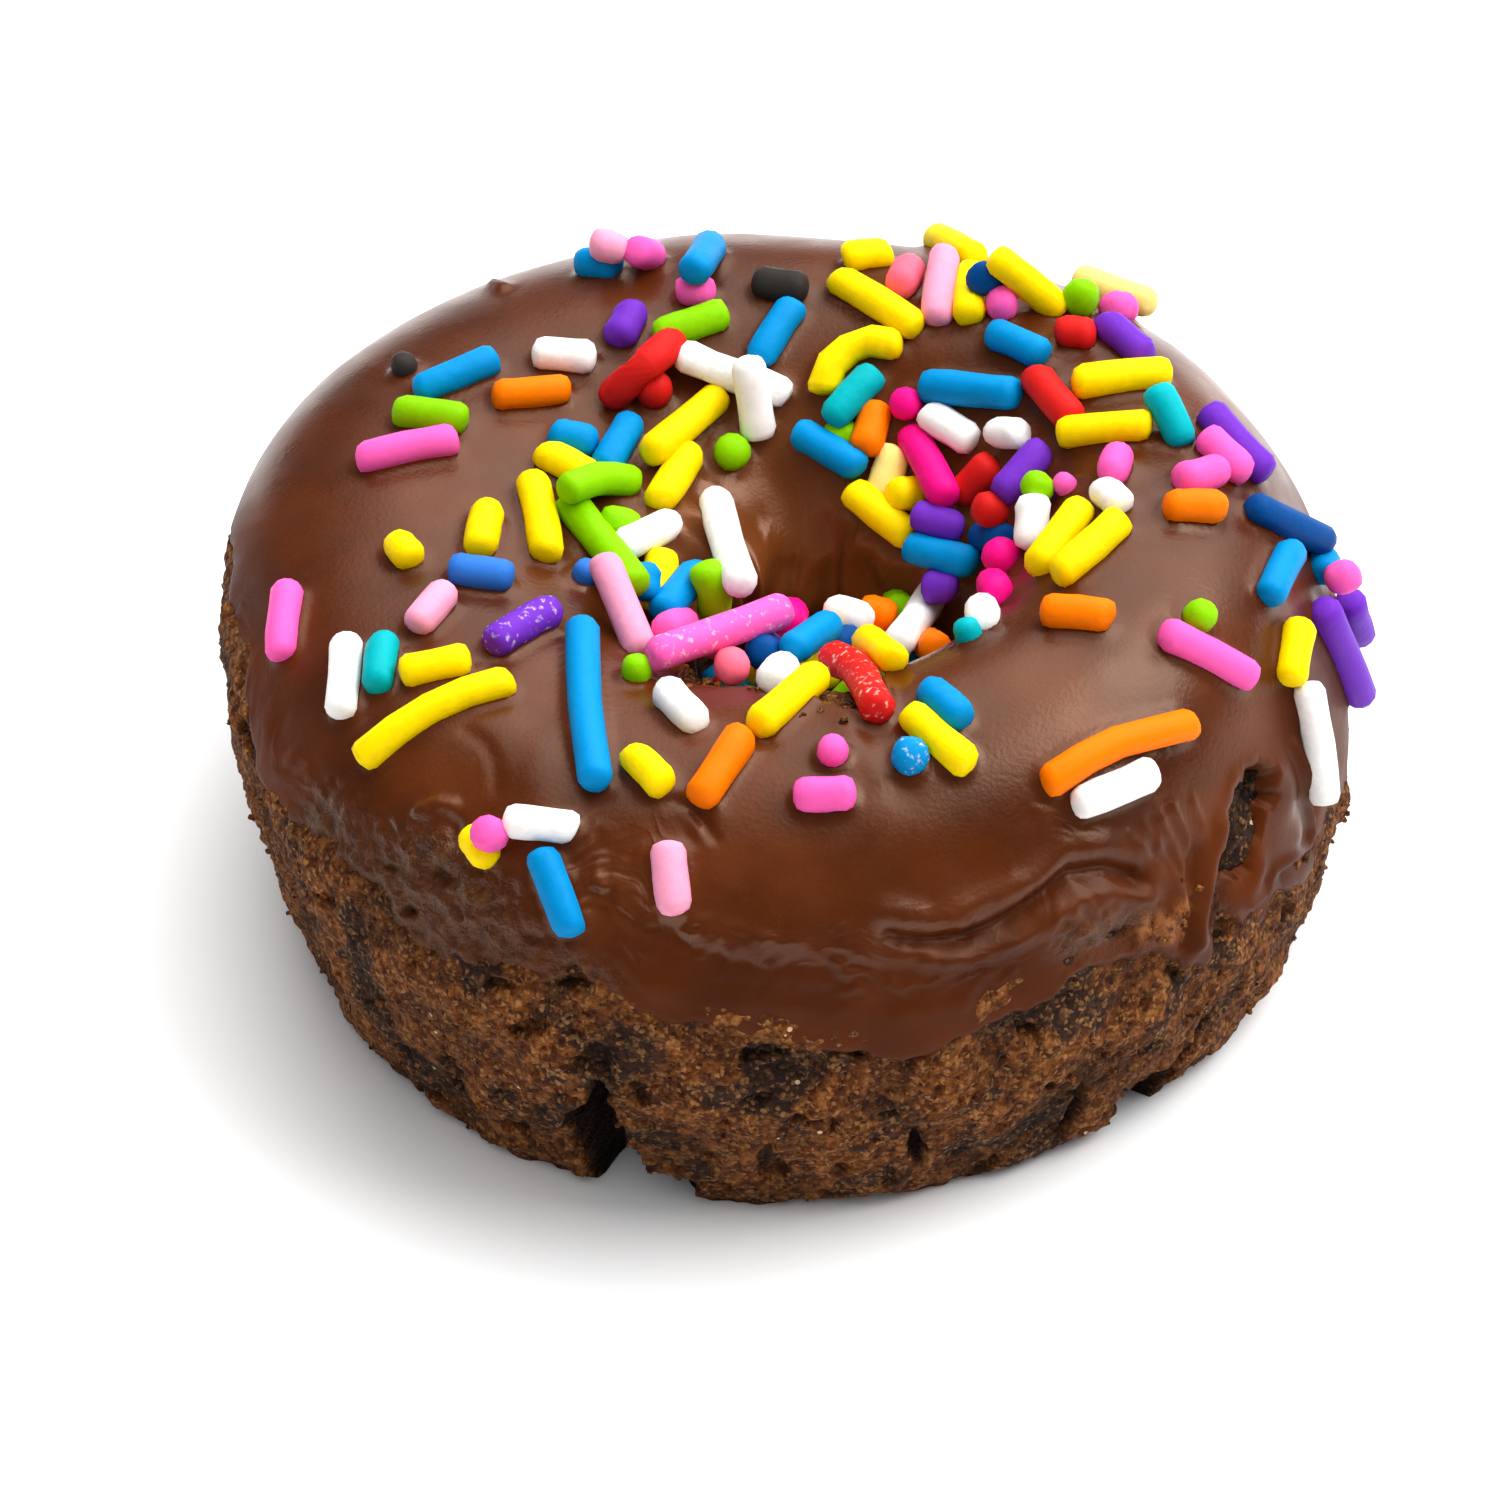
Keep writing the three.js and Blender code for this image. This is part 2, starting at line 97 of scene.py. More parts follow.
def setAttribute(piece, name, values, kind="FLOAT"):
    layer = piece.data.attributes.new(name, kind, "POINT")
    key = "value" if kind == "FLOAT" else "vector"
    layer.data.foreach_set(key, np.ascontiguousarray(values, dtype=np.float32).ravel())


def setPoints(piece, points):  # points in mm
    piece.data.vertices.foreach_set("co", (points * toMetres).astype(np.float32).ravel())
    piece.data.update()


def copyOf(piece):  # with a mesh of its own
    copy = piece.copy()
    copy.data = piece.data.copy()
    bpy.context.scene.collection.objects.link(copy)
    return copy


def joined(copies, name):
    deselectAll()
    for copy in copies:
        copy.select_set(True)
    bpy.context.view_layer.objects.active = copies[0]
    bpy.ops.object.join()
    copies[0].name = name
    return copies[0]


def sheetRing(name, grid, attributes):
    # a flat grid laid round the ring, grid in mm as (columns, rows), then sewn together at its seams
    columns, rows = grid.shape[:2]
    deselectAll()
    bpy.ops.mesh.primitive_grid_add(x_subdivisions=columns, y_subdivisions=rows, size=1)
    ring = bpy.context.object
    ring.name = name

    def sewn(values):  # its first row and column come again at the end
        wrapped = np.concatenate([values, values[:1]], 0)
        return np.swapaxes(np.concatenate([wrapped, wrapped[:, :1]], 1), 0, 1)

    setPoints(ring, sewn(grid))
    for key, values in attributes.items():
        setAttribute(ring, key, sewn(values), "FLOAT" if values.ndim == 2 else "FLOAT_VECTOR")
    bpy.ops.object.mode_set(mode="EDIT")
    bpy.ops.mesh.select_all(action="SELECT")
    bpy.ops.mesh.remove_doubles(threshold=1e-7)
    bpy.ops.object.mode_set(mode="OBJECT")
    bpy.ops.object.shade_smooth()
    return ring


# lengths in mm, focal length and aim in pixels of a frame this wide
view = {"elevation": 42.0, "distance": 520.0, "focal": 8866.7, "frameWide": 1500,
        "aimAt": (-0.8, -0.3, 13.0), "aimPixel": (774, 696), "sensor": 36}


def makeCamera():
    tilt = math.radians(view["elevation"])
    forward = Vector((0, math.cos(tilt), -math.sin(tilt)))
    right = Vector((1, 0, 0))
    up = right.cross(forward)
    place = Vector(view["aimAt"]) - forward * view["distance"]
    half = view["frameWide"] / 2
    aim = forward * view["focal"] - right * (view["aimPixel"][0] - half) - up * (half - view["aimPixel"][1])
    deselectAll()
    bpy.ops.object.camera_add(location=place * toMetres)
    eye = bpy.context.object
    eye.name = "camera"
    eye.rotation_mode = "QUATERNION"
    eye.rotation_quaternion = aim.to_track_quat("-Z", "Y")
    eye.data.sensor_width = view["sensor"]
    eye.data.lens = view["sensor"] * view["focal"] / view["frameWide"]
    eye.data.clip_start = 0.05
    eye.data.clip_end = 20
    bpy.context.scene.camera = eye
    turned = eye.rotation_quaternion
    return place, [turned @ Vector(axis) for axis in ((1, 0, 0), (0, 1, 0), (0, 0, -1))]


eyePlace, (eyeRight, eyeUp, eyeForward) = makeCamera()


def viewWay(pixel):  # direction from the lens through a pixel
    half = view["frameWide"] / 2
    return (eyeForward * view["focal"] + eyeRight * (pixel[0] - half)
            + eyeUp * (half - pixel[1])).normalized()


# the ring's form; what leans is given as mean, rise to the east and rise to the north
form = {
    "outerRadius": 33.0, "lobes": ((2, 0.010, -0.015), (3, 0.021, 0.008), (4, -0.004, 0.0)),
    "holeRadius": 7.37, "holeX": 2.39, "holeY": -0.29, "shiftX": -0.8, "shiftY": -0.3,
    "crest": (27.7, 2.65, 0.2), "widest": (12.97, -4.0, 2.0), "taper": (3.0, -0.8, 0.0),
    "taperPower": 1.37, "holeFlare": 2.0, "fullness": 2.14, "sideInset": 0.35,
}
# where the frosting ends on the outer side: angle, height
frostingEdge = [
    (4, 9.4), (12, 11.6), (24, 14.2), (45, 15.4), (66, 14.6), (88, 16.4), (110, 15.6), (133, 17.6),
    (157, 17.0), (178, 19.4), (186, 20.3), (198, 19.0), (206, 17.8), (213, 18.1), (217.6, 18.7),
    (222.7, 18.1), (228.7, 17.3), (234, 17.4), (241, 17.4), (245.8, 17.8), (249.4, 18.7), (254.5, 18.4),
    (258.7, 17.7), (262.7, 17.3), (270, 16.9), (277.6, 15.9), (284, 15.4), (290, 15.6), (296, 16.8),
    (301, 17.5), (307, 17.5), (311, 16.9), (314.1, 15.6), (316.4, 14.4), (318.6, 13.9), (320.2, 15.8),
    (321.6, 17.0), (323.0, 16.2), (324.8, 13.8), (327.0, 13.8), (329.9, 14.8), (333.4, 14.2), (337.2, 12.9),
    (341, 12.9), (344, 12.0), (347.5, 10.6), (352, 9.4), (358, 9.0)]
# where it ends in the hole: angle, turn
holeEdge = [
    (0, 194), (60, 197), (120, 198), (180, 196), (200, 188), (214, 172), (225, 158), (234, 142), (242, 127),
    (250, 113), (263, 116), (272, 108), (280, 102), (288, 96), (293, 109), (300, 130), (310, 150),
    (320, 168), (340, 188)]


def leaning(key, angle):
    mean, east, north = form[key]
    return mean + east * np.cos(np.radians(angle)) + north * np.sin(np.radians(angle))


def sectionAt(angle):
    around = np.radians(angle)
    swell = sum(c * np.cos(n * around) + s * np.sin(n * around) for n, c, s in form["lobes"])
    outside = form["outerRadius"] * (1 + swell)
    along = form["holeX"] * np.cos(around) + form["holeY"] * np.sin(around)
    inside = along + np.sqrt(form["holeRadius"] ** 2 - form["holeX"] ** 2 - form["holeY"] ** 2 + along ** 2)
    return outside, inside, leaning("crest", angle), leaning("widest", angle)


def formAt(angle, turn):  # point and outward direction on the form
    outside, inside, crest, widest = sectionAt(angle)
    full = form["fullness"]
    middle = (outside + inside) / 2
    halfWidth = (outside - inside) / 2
    rise = crest - widest
    across = np.abs(np.cos(np.radians(turn))) ** (2 / full)
    up = np.abs(np.sin(np.radians(turn))) ** (2 / full)
    side = np.where(turn < 90, 1.0, -1.0)
    radius = middle + side * halfWidth * across
    height = widest + rise * up
    outward = side * across ** (full - 1) / halfWidth
    upward = up ** (full - 1) / rise
    down = np.clip(turn / footTurn, 0, 1)  # the side below its widest level
    taper, power = leaning("taper", angle), form["taperPower"]
    radius = np.where(turn < 0, outside - taper * down ** power, radius)
    height = np.where(turn < 0, widest * (1 - down), height)
    outward = np.where(turn < 0, 1.0, outward)
    upward = np.where(turn < 0, -taper * power * down ** (power - 1) / widest, upward)
    down = np.clip((turn - 180) / (lastTurn - 180), 0, 1)  # the hole's wall below its narrowest
    radius = np.where(turn > 180, inside + form["holeFlare"] * down ** 2, radius)
    height = np.where(turn > 180, widest * (1 - down), height)
    outward = np.where(turn > 180, -1.0, outward)
    upward = np.where(turn > 180, 0.0, upward)
    length = np.hypot(outward, upward)
    cosine, sine = np.cos(np.radians(angle)), np.sin(np.radians(angle))
    point = np.stack([radius * cosine + form["shiftX"], radius * sine + form["shiftY"], height], -1)
    return point, np.stack([outward * cosine, outward * sine, upward], -1) / length[..., None]


def stationValue(stations, angle):  # eased between stations, round the ring
    angles = np.array([a for a, _ in stations] + [stations[0][0] + 360.0])
    values = np.array([v for _, v in stations] + [stations[0][1]])
    wrapped = (angle - angles[0]) % 360 + angles[0]
    index = np.clip(np.searchsorted(angles, wrapped, side="right") - 1, 0, len(stations) - 1)
    share = smooth(0, 1, (wrapped - angles[index]) / (angles[index + 1] - angles[index]))
    return values[index] + (values[index + 1] - values[index]) * share


def turnAtHeight(angle, height):  # on the outer side
    _, _, crest, widest = sectionAt(angle)
    share = np.clip((height - widest) / (crest - widest), 0, 1)
    above = np.degrees(np.arcsin(share ** (form["fullness"] / 2)))
    return np.where(height >= widest, above, footTurn * (1 - np.clip(height, 0, None) / widest))


def roundTheRing(angle, size, seed):  # seeded noise of the angle alone
    reach = form["outerRadius"] / size
    spots = np.stack([np.cos(np.radians(angle)) * reach, np.sin(np.radians(angle)) * reach,
                      np.full_like(angle, seed)], -1)
    return noiseAt(spots, 1.0)


# how far the edges stray: amount (mm outside, degrees in the hole), size in mm, seed
edgeWander = {"outer": ((0.75, 3.6, 4.3), (0.4, 1.3, 9.1)), "inner": ((6.0, 7.0, 14.7), (3.5, 3.0, 20.2))}


def edgeTurns(angle):
    outer, inner = (sum(much * roundTheRing(angle, size, seed) for much, size, seed in edgeWander[key])
                    for key in ("outer", "inner"))
    return (turnAtHeight(angle, stationValue(frostingEdge, angle) + outer),
            stationValue(holeEdge, angle) + inner)


def arcAlong(points):  # mm along each column from its first row
    steps = np.linalg.norm(np.diff(points, axis=1), axis=2)
    return np.concatenate([np.zeros((len(points), 1)), np.cumsum(steps, axis=1)], axis=1)


def spreadRows(angles, count):  # each column's angle repeated down its rows
    return np.repeat(angles[:, None], count, 1)


def evenTurns(angles, first, last, rows, crowding=0.0):  # spaced evenly in mm, or closer at the first
    shares = np.linspace(0, 1, 160)
    turns = first[:, None] + (last - first)[:, None] * shares
    arcs = arcAlong(formAt(spreadRows(angles, len(shares)), turns)[0])
    wanted = np.linspace(0, 1, rows)
    wanted = (1 - crowding) * wanted + crowding * wanted ** 2
    return np.array([np.interp(wanted * arc[-1], arc, turn) for arc, turn in zip(arcs, turns)])


def treeOf(points):  # a search tree of a grid of points round the ring
    columns, rows = points.shape[:2]
    quads = [(c * rows + r, (c + 1) % columns * rows + r, (c + 1) % columns * rows + r + 1, c * rows + r + 1)
             for c in range(columns) for r in range(rows - 1)]
    return BVHTree.FromPolygons(points.reshape(-1, 3).tolist(), quads)


def makeFormTree(columns=300, rows=150):
    angles = np.arange(columns) * 360 / columns
    turns = np.repeat(np.linspace(footTurn, lastTurn, rows)[None, :], columns, 0)
    return treeOf(formAt(spreadRows(angles, rows), turns)[0])


formTree = makeFormTree()


def onForm(pixels):  # where the frame's pixels lie on the form
    hits = [formTree.ray_cast(eyePlace, viewWay(pixel))[0] for pixel in pixels]
    return np.array([hit for hit in hits if hit is not None])


print("form ready")

# crumb relief, shared by the cake and the thin glaze: sizes and heights in mm
crumb = {"lump": 3.8, "lumpHigh": 0.55, "grain": 0.95, "grainHigh": 0.30, "fine": 0.5, "fineHigh": 0.26,
         "poreSize": 1.8, "poreDeep": 0.6, "poreFrom": 0.36, "poreTo": 0.58, "poreRagged": 0.22,
         "raggedSize": 0.7, "cellMean": 0.42}


def crumbRelief(points):
    ragged = crumb["poreRagged"] * noiseAt(points, crumb["raggedSize"], 2.2)
    pores = smooth(crumb["poreFrom"], crumb["poreTo"], noiseAt(points, crumb["poreSize"], 5.1) + ragged)
    relief = crumb["lumpHigh"] * noiseAt(points, crumb["lump"], 3.7) - crumb["poreDeep"] * pores
    for size, high, shift in (("grain", "grainHigh", 1.3), ("fine", "fineHigh", 8.9)):
        relief = relief + crumb[high] * (crumb["cellMean"] - cellsAt(points, crumb[size], shift))
    return relief


# bare cake stands a little in from the form, and covered cake lies well below the frosting
cakeLook = {
    "columns": 792, "sideRows": 68, "coveredRows": 8, "holeRows": 40, "baseRows": 5,
    "aboveEdge": 2.4, "moreAtWindow": 6.2, "windowAngle": 325, "belowHoleEdge": 9,
    "coveredInset": 1.55, "windowInset": 0.55, "seamInset": 0.10, "jitter": 0.16,
    "roughCracks": ((1.5, 1.3, 6.6), (1.2, 0.6, 16.6)),  # amount, size, seed
    "footRound": 0.55, "footRagged": ((0.22, 1.7, 5.5), (0.30, 4.0, 2.5)), "baseUneven": 0.10,
    "charAtWindow": 0.9, "shadeInCrack": 0.8, "shadeAtWindow": 0.35,
    # where something begins and is full: degrees round the ring, then mm from the edge, window or floor
    "nearWindow": (17, 9), "coverRamp": (0.5, 2.2), "bareRamp": (1.0, 2.4), "seamRamp": (-3.2, -0.2),
    "windowRamp": (2.9, 1.8), "windowInsetRamp": (3.0, 1.9), "footRamp": (0, 2.2), "roundRamp": (0, 1.0),
    # cracks of the side: angle, height, half width, depth
    "cracks": {
        "main": [(252.4, 11.8, 0.3, 0.8), (252.4, 11.2, 0.66, 2.6), (252.3, 10.4, 0.66, 2.8),
                 (252.0, 9.7, 0.5, 2.8), (251.9, 9.0, 0.95, 3.2), (251.4, 7.8, 1.5, 3.8),
                 (251.2, 6.4, 1.85, 4.0), (251.6, 5.0, 1.65, 4.0), (252.2, 3.4, 1.85, 3.8),
                 (253.0, 1.6, 1.65, 3.4), (253.4, -0.5, 1.8, 3.0)],
        "chip": [(257.4, 2.6, 1.5, 0.3), (257.4, 2.2, 1.9, 2.5), (257.4, -0.5, 2.0, 2.9)],
        "leftChip": [(227.0, 2.2, 0.3, 0.3), (227.0, 0.8, 0.7, 1.4), (227.0, -0.5, 0.8, 1.6)],
        "smallA": [(304.0, 6.8, 0.14, 0.4), (303.9, 5.6, 0.24, 1.0), (303.6, 4.4, 0.5, 1.5),
                   (303.0, 3.0, 0.6, 1.6), (302.6, 1.8, 0.2, 0.4)],
        "smallB": [(284.4, 7.6, 0.14, 0.3), (284.8, 6.6, 0.4, 1.2), (285.4, 5.2, 0.5, 1.3),
                   (285.6, 3.8, 0.2, 0.4)],
        "smallC": [(321.0, 6.8, 0.15, 0.4), (320.0, 5.9, 0.36, 1.2), (318.4, 4.9, 0.6, 1.6),
                   (317.2, 4.2, 0.85, 2.0), (316.2, 3.2, 0.6, 1.7)],
        "eastChip": [(313.6, 3.5, 1.6, 0.2), (313.6, 3.1, 2.1, 1.7), (313.6, 1.6, 2.0, 2.2),
                     (313.6, -0.5, 1.8, 2.2)],
        "smallD": [(310.0, 4.0, 0.12, 0.3), (310.0, 3.2, 0.45, 1.0), (310.0, 2.4, 0.15, 0.4)],
        "sideNotch": [(190.0, 12.5, 0.3, 0.4), (191.0, 11.0, 0.8, 1.2), (192.0, 9.4, 0.3, 0.4)],
        "backCrack": [(77.0, 12.0, 0.3, 0.5), (76.0, 9.0, 0.7, 1.8), (77.5, 5.5, 1.0, 2.2),
                      (76.5, -0.5, 1.3, 2.2)],
        "backSplit": [(133.0, 9.6, 0.2, 0.4), (132.0, 7.5, 0.6, 1.5), (134.0, 5.0, 0.4, 1.2),
                      (134.0, 3.6, 0.15, 0.3)],
        "eastCrack": [(21.0, 7.2, 0.2, 0.4), (22.0, 4.8, 0.6, 1.4), (21.0, 2.0, 0.8, 1.6),
                      (21.0, -0.5, 1.0, 1.6)],
    },
}
# where the cake is charred darker than elsewhere: path in pixels of the frame, reach in mm
charZones = (
    ([(640, 1004), (668, 1000), (690, 1010)], 1.1), ([(470, 968), (490, 974)], 0.7),
    ([(545, 981), (562, 985)], 0.6), ([(598, 1062), (640, 1045), (680, 1040)], 1.7),
    ([(612, 1140), (655, 1150)], 1.5), ([(730, 1090), (790, 1100)], 1.6), ([(1062, 952), (1108, 945)], 1.1),
    ([(1216, 930), (1222, 960)], 0.8), ([(1215, 890), (1220, 915)], 0.6), ([(1148, 948), (1172, 952)], 0.8),
    ([(700, 1080), (760, 1062), (800, 1078)], 1.7), ([(600, 1026), (650, 1034)], 1.2),
    ([(1000, 1150), (1055, 1122)], 1.1), ([(850, 1182), (905, 1176)], 1.3),
    ([(560, 1120), (500, 1100)], 1.0), ([(426, 862), (470, 900)], 1.0), ([(1076, 1006), (1118, 1016)], 1.4),
    ([(345, 930), (365, 1000), (400, 1060)], 1.6), ([(1150, 1040), (1180, 1010)], 1.2),
    ([(1254, 788), (1246, 830), (1240, 866)], 1.6))
# what the frosting's surface is like in places, given in the same way
frostingZones = {
    "wrinkled": (
        ([(585, 868), (650, 915), (730, 950), (830, 965), (930, 960), (1010, 930), (1090, 900)], 2.4),
        ([(640, 850), (680, 830)], 1.6), ([(900, 985), (1010, 965)], 1.6),
        ([(1160, 825), (1190, 850)], 1.5), ([(1020, 818), (1090, 822)], 0.8)),
    "glazed": (
        ([(322, 846), (380, 880), (430, 915), (500, 955)], 2.9), ([(420, 850), (490, 905)], 2.0),
        ([(560, 965), (600, 982)], 1.3), ([(1070, 940), (1130, 925)], 1.3),
        ([(1221, 880), (1213, 925)], 0.8)),
    "bare": (
        ([(362, 890), (384, 896)], 0.50), ([(436, 870), (454, 884)], 0.50), ([(404, 912), (416, 920)], 0.35),
        ([(314, 842), (330, 852)], 0.45), ([(500, 968), (540, 974)], 0.40),
        ([(1112, 938), (1130, 936)], 0.35)),
    "torn": (([(1150, 927), (1166, 921), (1181, 911)], 0.85), ([(1171, 932), (1183, 904)], 0.75)),
    "streaked": (([(232, 620), (252, 700), (285, 770), (330, 815), (390, 842)], 1.9),),
}


def zoneMask(points, zones):
    mask = np.zeros(points.shape[:-1])
    for path, reach in zones:
        mask = np.maximum(mask, bellCurve(pathDistance(points, onForm(path)), reach))
    return mask


# bare crumb in the frosting
window = {"path": [(1255, 790), (1248, 808), (1242, 832), (1238, 852)], "halfWide": 1.5, "deep": 1.5,
          "slope": 0.25, "ragged": ((0.5, 1.1, 4.4), (0.25, 0.5, 4.9))}
windowPath = onForm(window["path"])


def crackDepth(angles, points, rough):
    depth = np.zeros(points.shape[:-1])
    height = points[..., 2]
    for stations in cakeLook["cracks"].values():
        stations = np.array(stations)[::-1]
        centre, half, deep = (np.interp(height, stations[:, 1], stations[:, k]) for k in (0, 2, 3))
        aside = (angles - centre + 180) % 360 - 180
        across = np.abs(np.radians(aside) * np.hypot(points[..., 0], points[..., 1]))
        inside = (height < stations[-1, 1] + 0.3) & (height > stations[0, 1] - 0.3)
        share = smooth(1.15, 0.75, across / np.maximum(half, 0.05) + 0.22 * rough)
        depth = np.maximum(depth, np.where(inside, deep * share, 0))
    return depth


def makeCake():
    look = cakeLook
    angles = np.arange(look["columns"]) * 360 / look["columns"]
    outer, inner = edgeTurns(angles)
    # side rows run from the foot to a little above the frosting's edge, higher round the window
    nearWindow = smooth(*look["nearWindow"], np.abs((angles - look["windowAngle"] + 180) % 360 - 180))
    top = stationValue(frostingEdge, angles) + look["aboveEdge"] + look["moreAtWindow"] * nearWindow
    foot, last = (np.full_like(angles, turn) for turn in (footTurn, lastTurn))
    sideTurns = evenTurns(angles, foot, turnAtHeight(angles, top), look["sideRows"])
    holeStart = inner - look["belowHoleEdge"]
    covered = np.linspace(0, 1, look["coveredRows"] + 2)[1:-1]
    coveredTurns = sideTurns[:, -1:] + (holeStart[:, None] - sideTurns[:, -1:]) * covered
    holeTurns = evenTurns(angles, holeStart, last, look["holeRows"])
    turns = np.concatenate([sideTurns, coveredTurns, holeTurns], 1)
    spread = spreadRows(angles, turns.shape[1])
    points, outward = formAt(spread, turns)
    arcs = arcAlong(points)
    outerArc, innerArc = (np.array([np.interp(t, turn, arc) for t, turn, arc in zip(edge, turns, arcs)])
                          for edge in (outer, inner))
    under = np.minimum(arcs - outerArc[:, None], innerArc[:, None] - arcs)  # mm in under the frosting
    cover = smooth(*look["coverRamp"], under) * (1 - 0.95 * zoneMask(points, frostingZones["bare"]))
    relief = crumbRelief(points)
    fromWindow = pathDistance(points, windowPath)
    atWindow = smooth(*look["windowRamp"], fromWindow)
    bare = np.maximum(1 - smooth(*look["bareRamp"], under) * cover, 1.25 * atWindow)
    flush = form["sideInset"] + (look["seamInset"] - form["sideInset"]) * smooth(*look["seamRamp"], under)
    inset = flush + (look["coveredInset"] - flush) * cover
    inset = inset + (look["windowInset"] - inset) * smooth(*look["windowInsetRamp"], fromWindow)
    rough = sum(much * noiseAt(points, size, seed) for much, size, seed in look["roughCracks"])
    cracks = crackDepth(spread, points, rough)
    sideways = noiseVectors(points, 0.9, (11.0, 23.0, 37.0)) * look["jitter"] * bare[..., None]
    # lower edge a little rounded and ragged
    aboveFoot = smooth(*look["footRamp"], points[..., 2])
    ragged = 1 + 0.9 * noiseAt(points, 1.6, 9.9)
    footRound = look["footRound"] * (1 - smooth(*look["roundRamp"], points[..., 2])) * ragged
    depth = inset - relief * bare * (0.45 + 0.55 * aboveFoot) + cracks + footRound
    placed = points - outward * depth[..., None] + sideways
    small, broad = (much * roundTheRing(angles, size, seed) for much, size, seed in look["footRagged"])
    placed[:, 0, 2] = np.abs(small) + np.clip(broad, 0, 1)
    placed[:, -1, 2] = 0.05
    placed[..., 2] = np.maximum(placed[..., 2], 0.0)
    # the baked base between the hole's foot and the outer foot
    share = np.linspace(0, 1, look["baseRows"] + 2)[1:-1]
    base = placed[:, -1:] + (placed[:, :1] - placed[:, -1:]) * share[None, :, None]
    base[..., 2] = look["baseUneven"] * np.abs(noiseAt(base, 1.7, 3.3))
    base[:, 1::2, 2] = 0
    # painted shade: relief darkens the hollows and lightens the tops of the bare crumb and darkens the
    # cracks and the window; another mask paints the inside of the cracks near black
    low = look["shadeInCrack"] * cracks + look["shadeAtWindow"] * atWindow
    masks = {"relief": (relief - 0.1) * bare - low, "crack": smooth(0.05, 0.55, cracks),
             "charred": zoneMask(points, charZones) + look["charAtWindow"] * atWindow}
    blank = np.zeros(base.shape[:2])
    masks = {key: np.concatenate([mask, blank], 1) for key, mask in masks.items()}
    return sheetRing("chocolate_cake", np.concatenate([placed, base], 1), masks), placed


cake, cakePoints = makeCake()
cakeTree = treeOf(cakePoints)
print("cake made:", len(cake.data.polygons), "faces")

# lengths in mm; noises as amount, size and seed, or sizes and seeds alone
frostingLook = {
    "columns": 700, "topRows": 132, "underRows": 6, "frontDensity": 0.9, "crowding": 0.38,
    "below": 1.2, "dip": 1.1, "ramp": (1.55, 9.0, 31.0), "innerRamp": (1.5, 6.0, 41.0), "thick": 1.3,
    "bead": (0.02, 0.16, 8.0, 51.0), "beadWide": 1.3, "innerBead": 0.12, "innerBeadWide": 0.9,
    "swell": ((0.34, 15.0), (0.15, 6.5)),  # broad unevenness, seeded by its size
    "flowReach": 21.0, "drawnOut": (2.6, 2.6, 1.15),  # wrinkles are longer along the ring than across
    "wrinkleHigh": 0.18, "crossHigh": 0.14, "crossSize": 1.7, "streakHigh": 0.07,
    "crumbThrough": 0.7, "lumps": ((0.22, 1.5, 71.0), (0.26, 0.8, 77.0)), "lumpsLower": 0.08,
    "bareDeep": 0.30, "tornHigh": 0.10, "tornGrain": (0.85, 0.9, 21.0),
    # where something begins and is full: degrees, a noise's value, mm from the edge, or a share
    "frontFrom": (195, 215), "frontTo": (352, 338), "paleFrom": (112, 145), "paleTo": (186, 164),
    "wrinkleLines": (0.42, 0.0), "wrinklePatches": (-0.05, 0.30), "crossLines": (0.36, 0.0),
    "crossPatches": (0.0, 0.35), "dullRamp": (6.5, 1.8), "steepRamp": (0.62, 0.20), "thinRamp": (1.0, 0.35),
    "thinAtEdge": 0.35, "thinAtRim": 0.6, "glazeShine": 0.6, "lipShine": 0.75, "lipWide": 1.5,
}
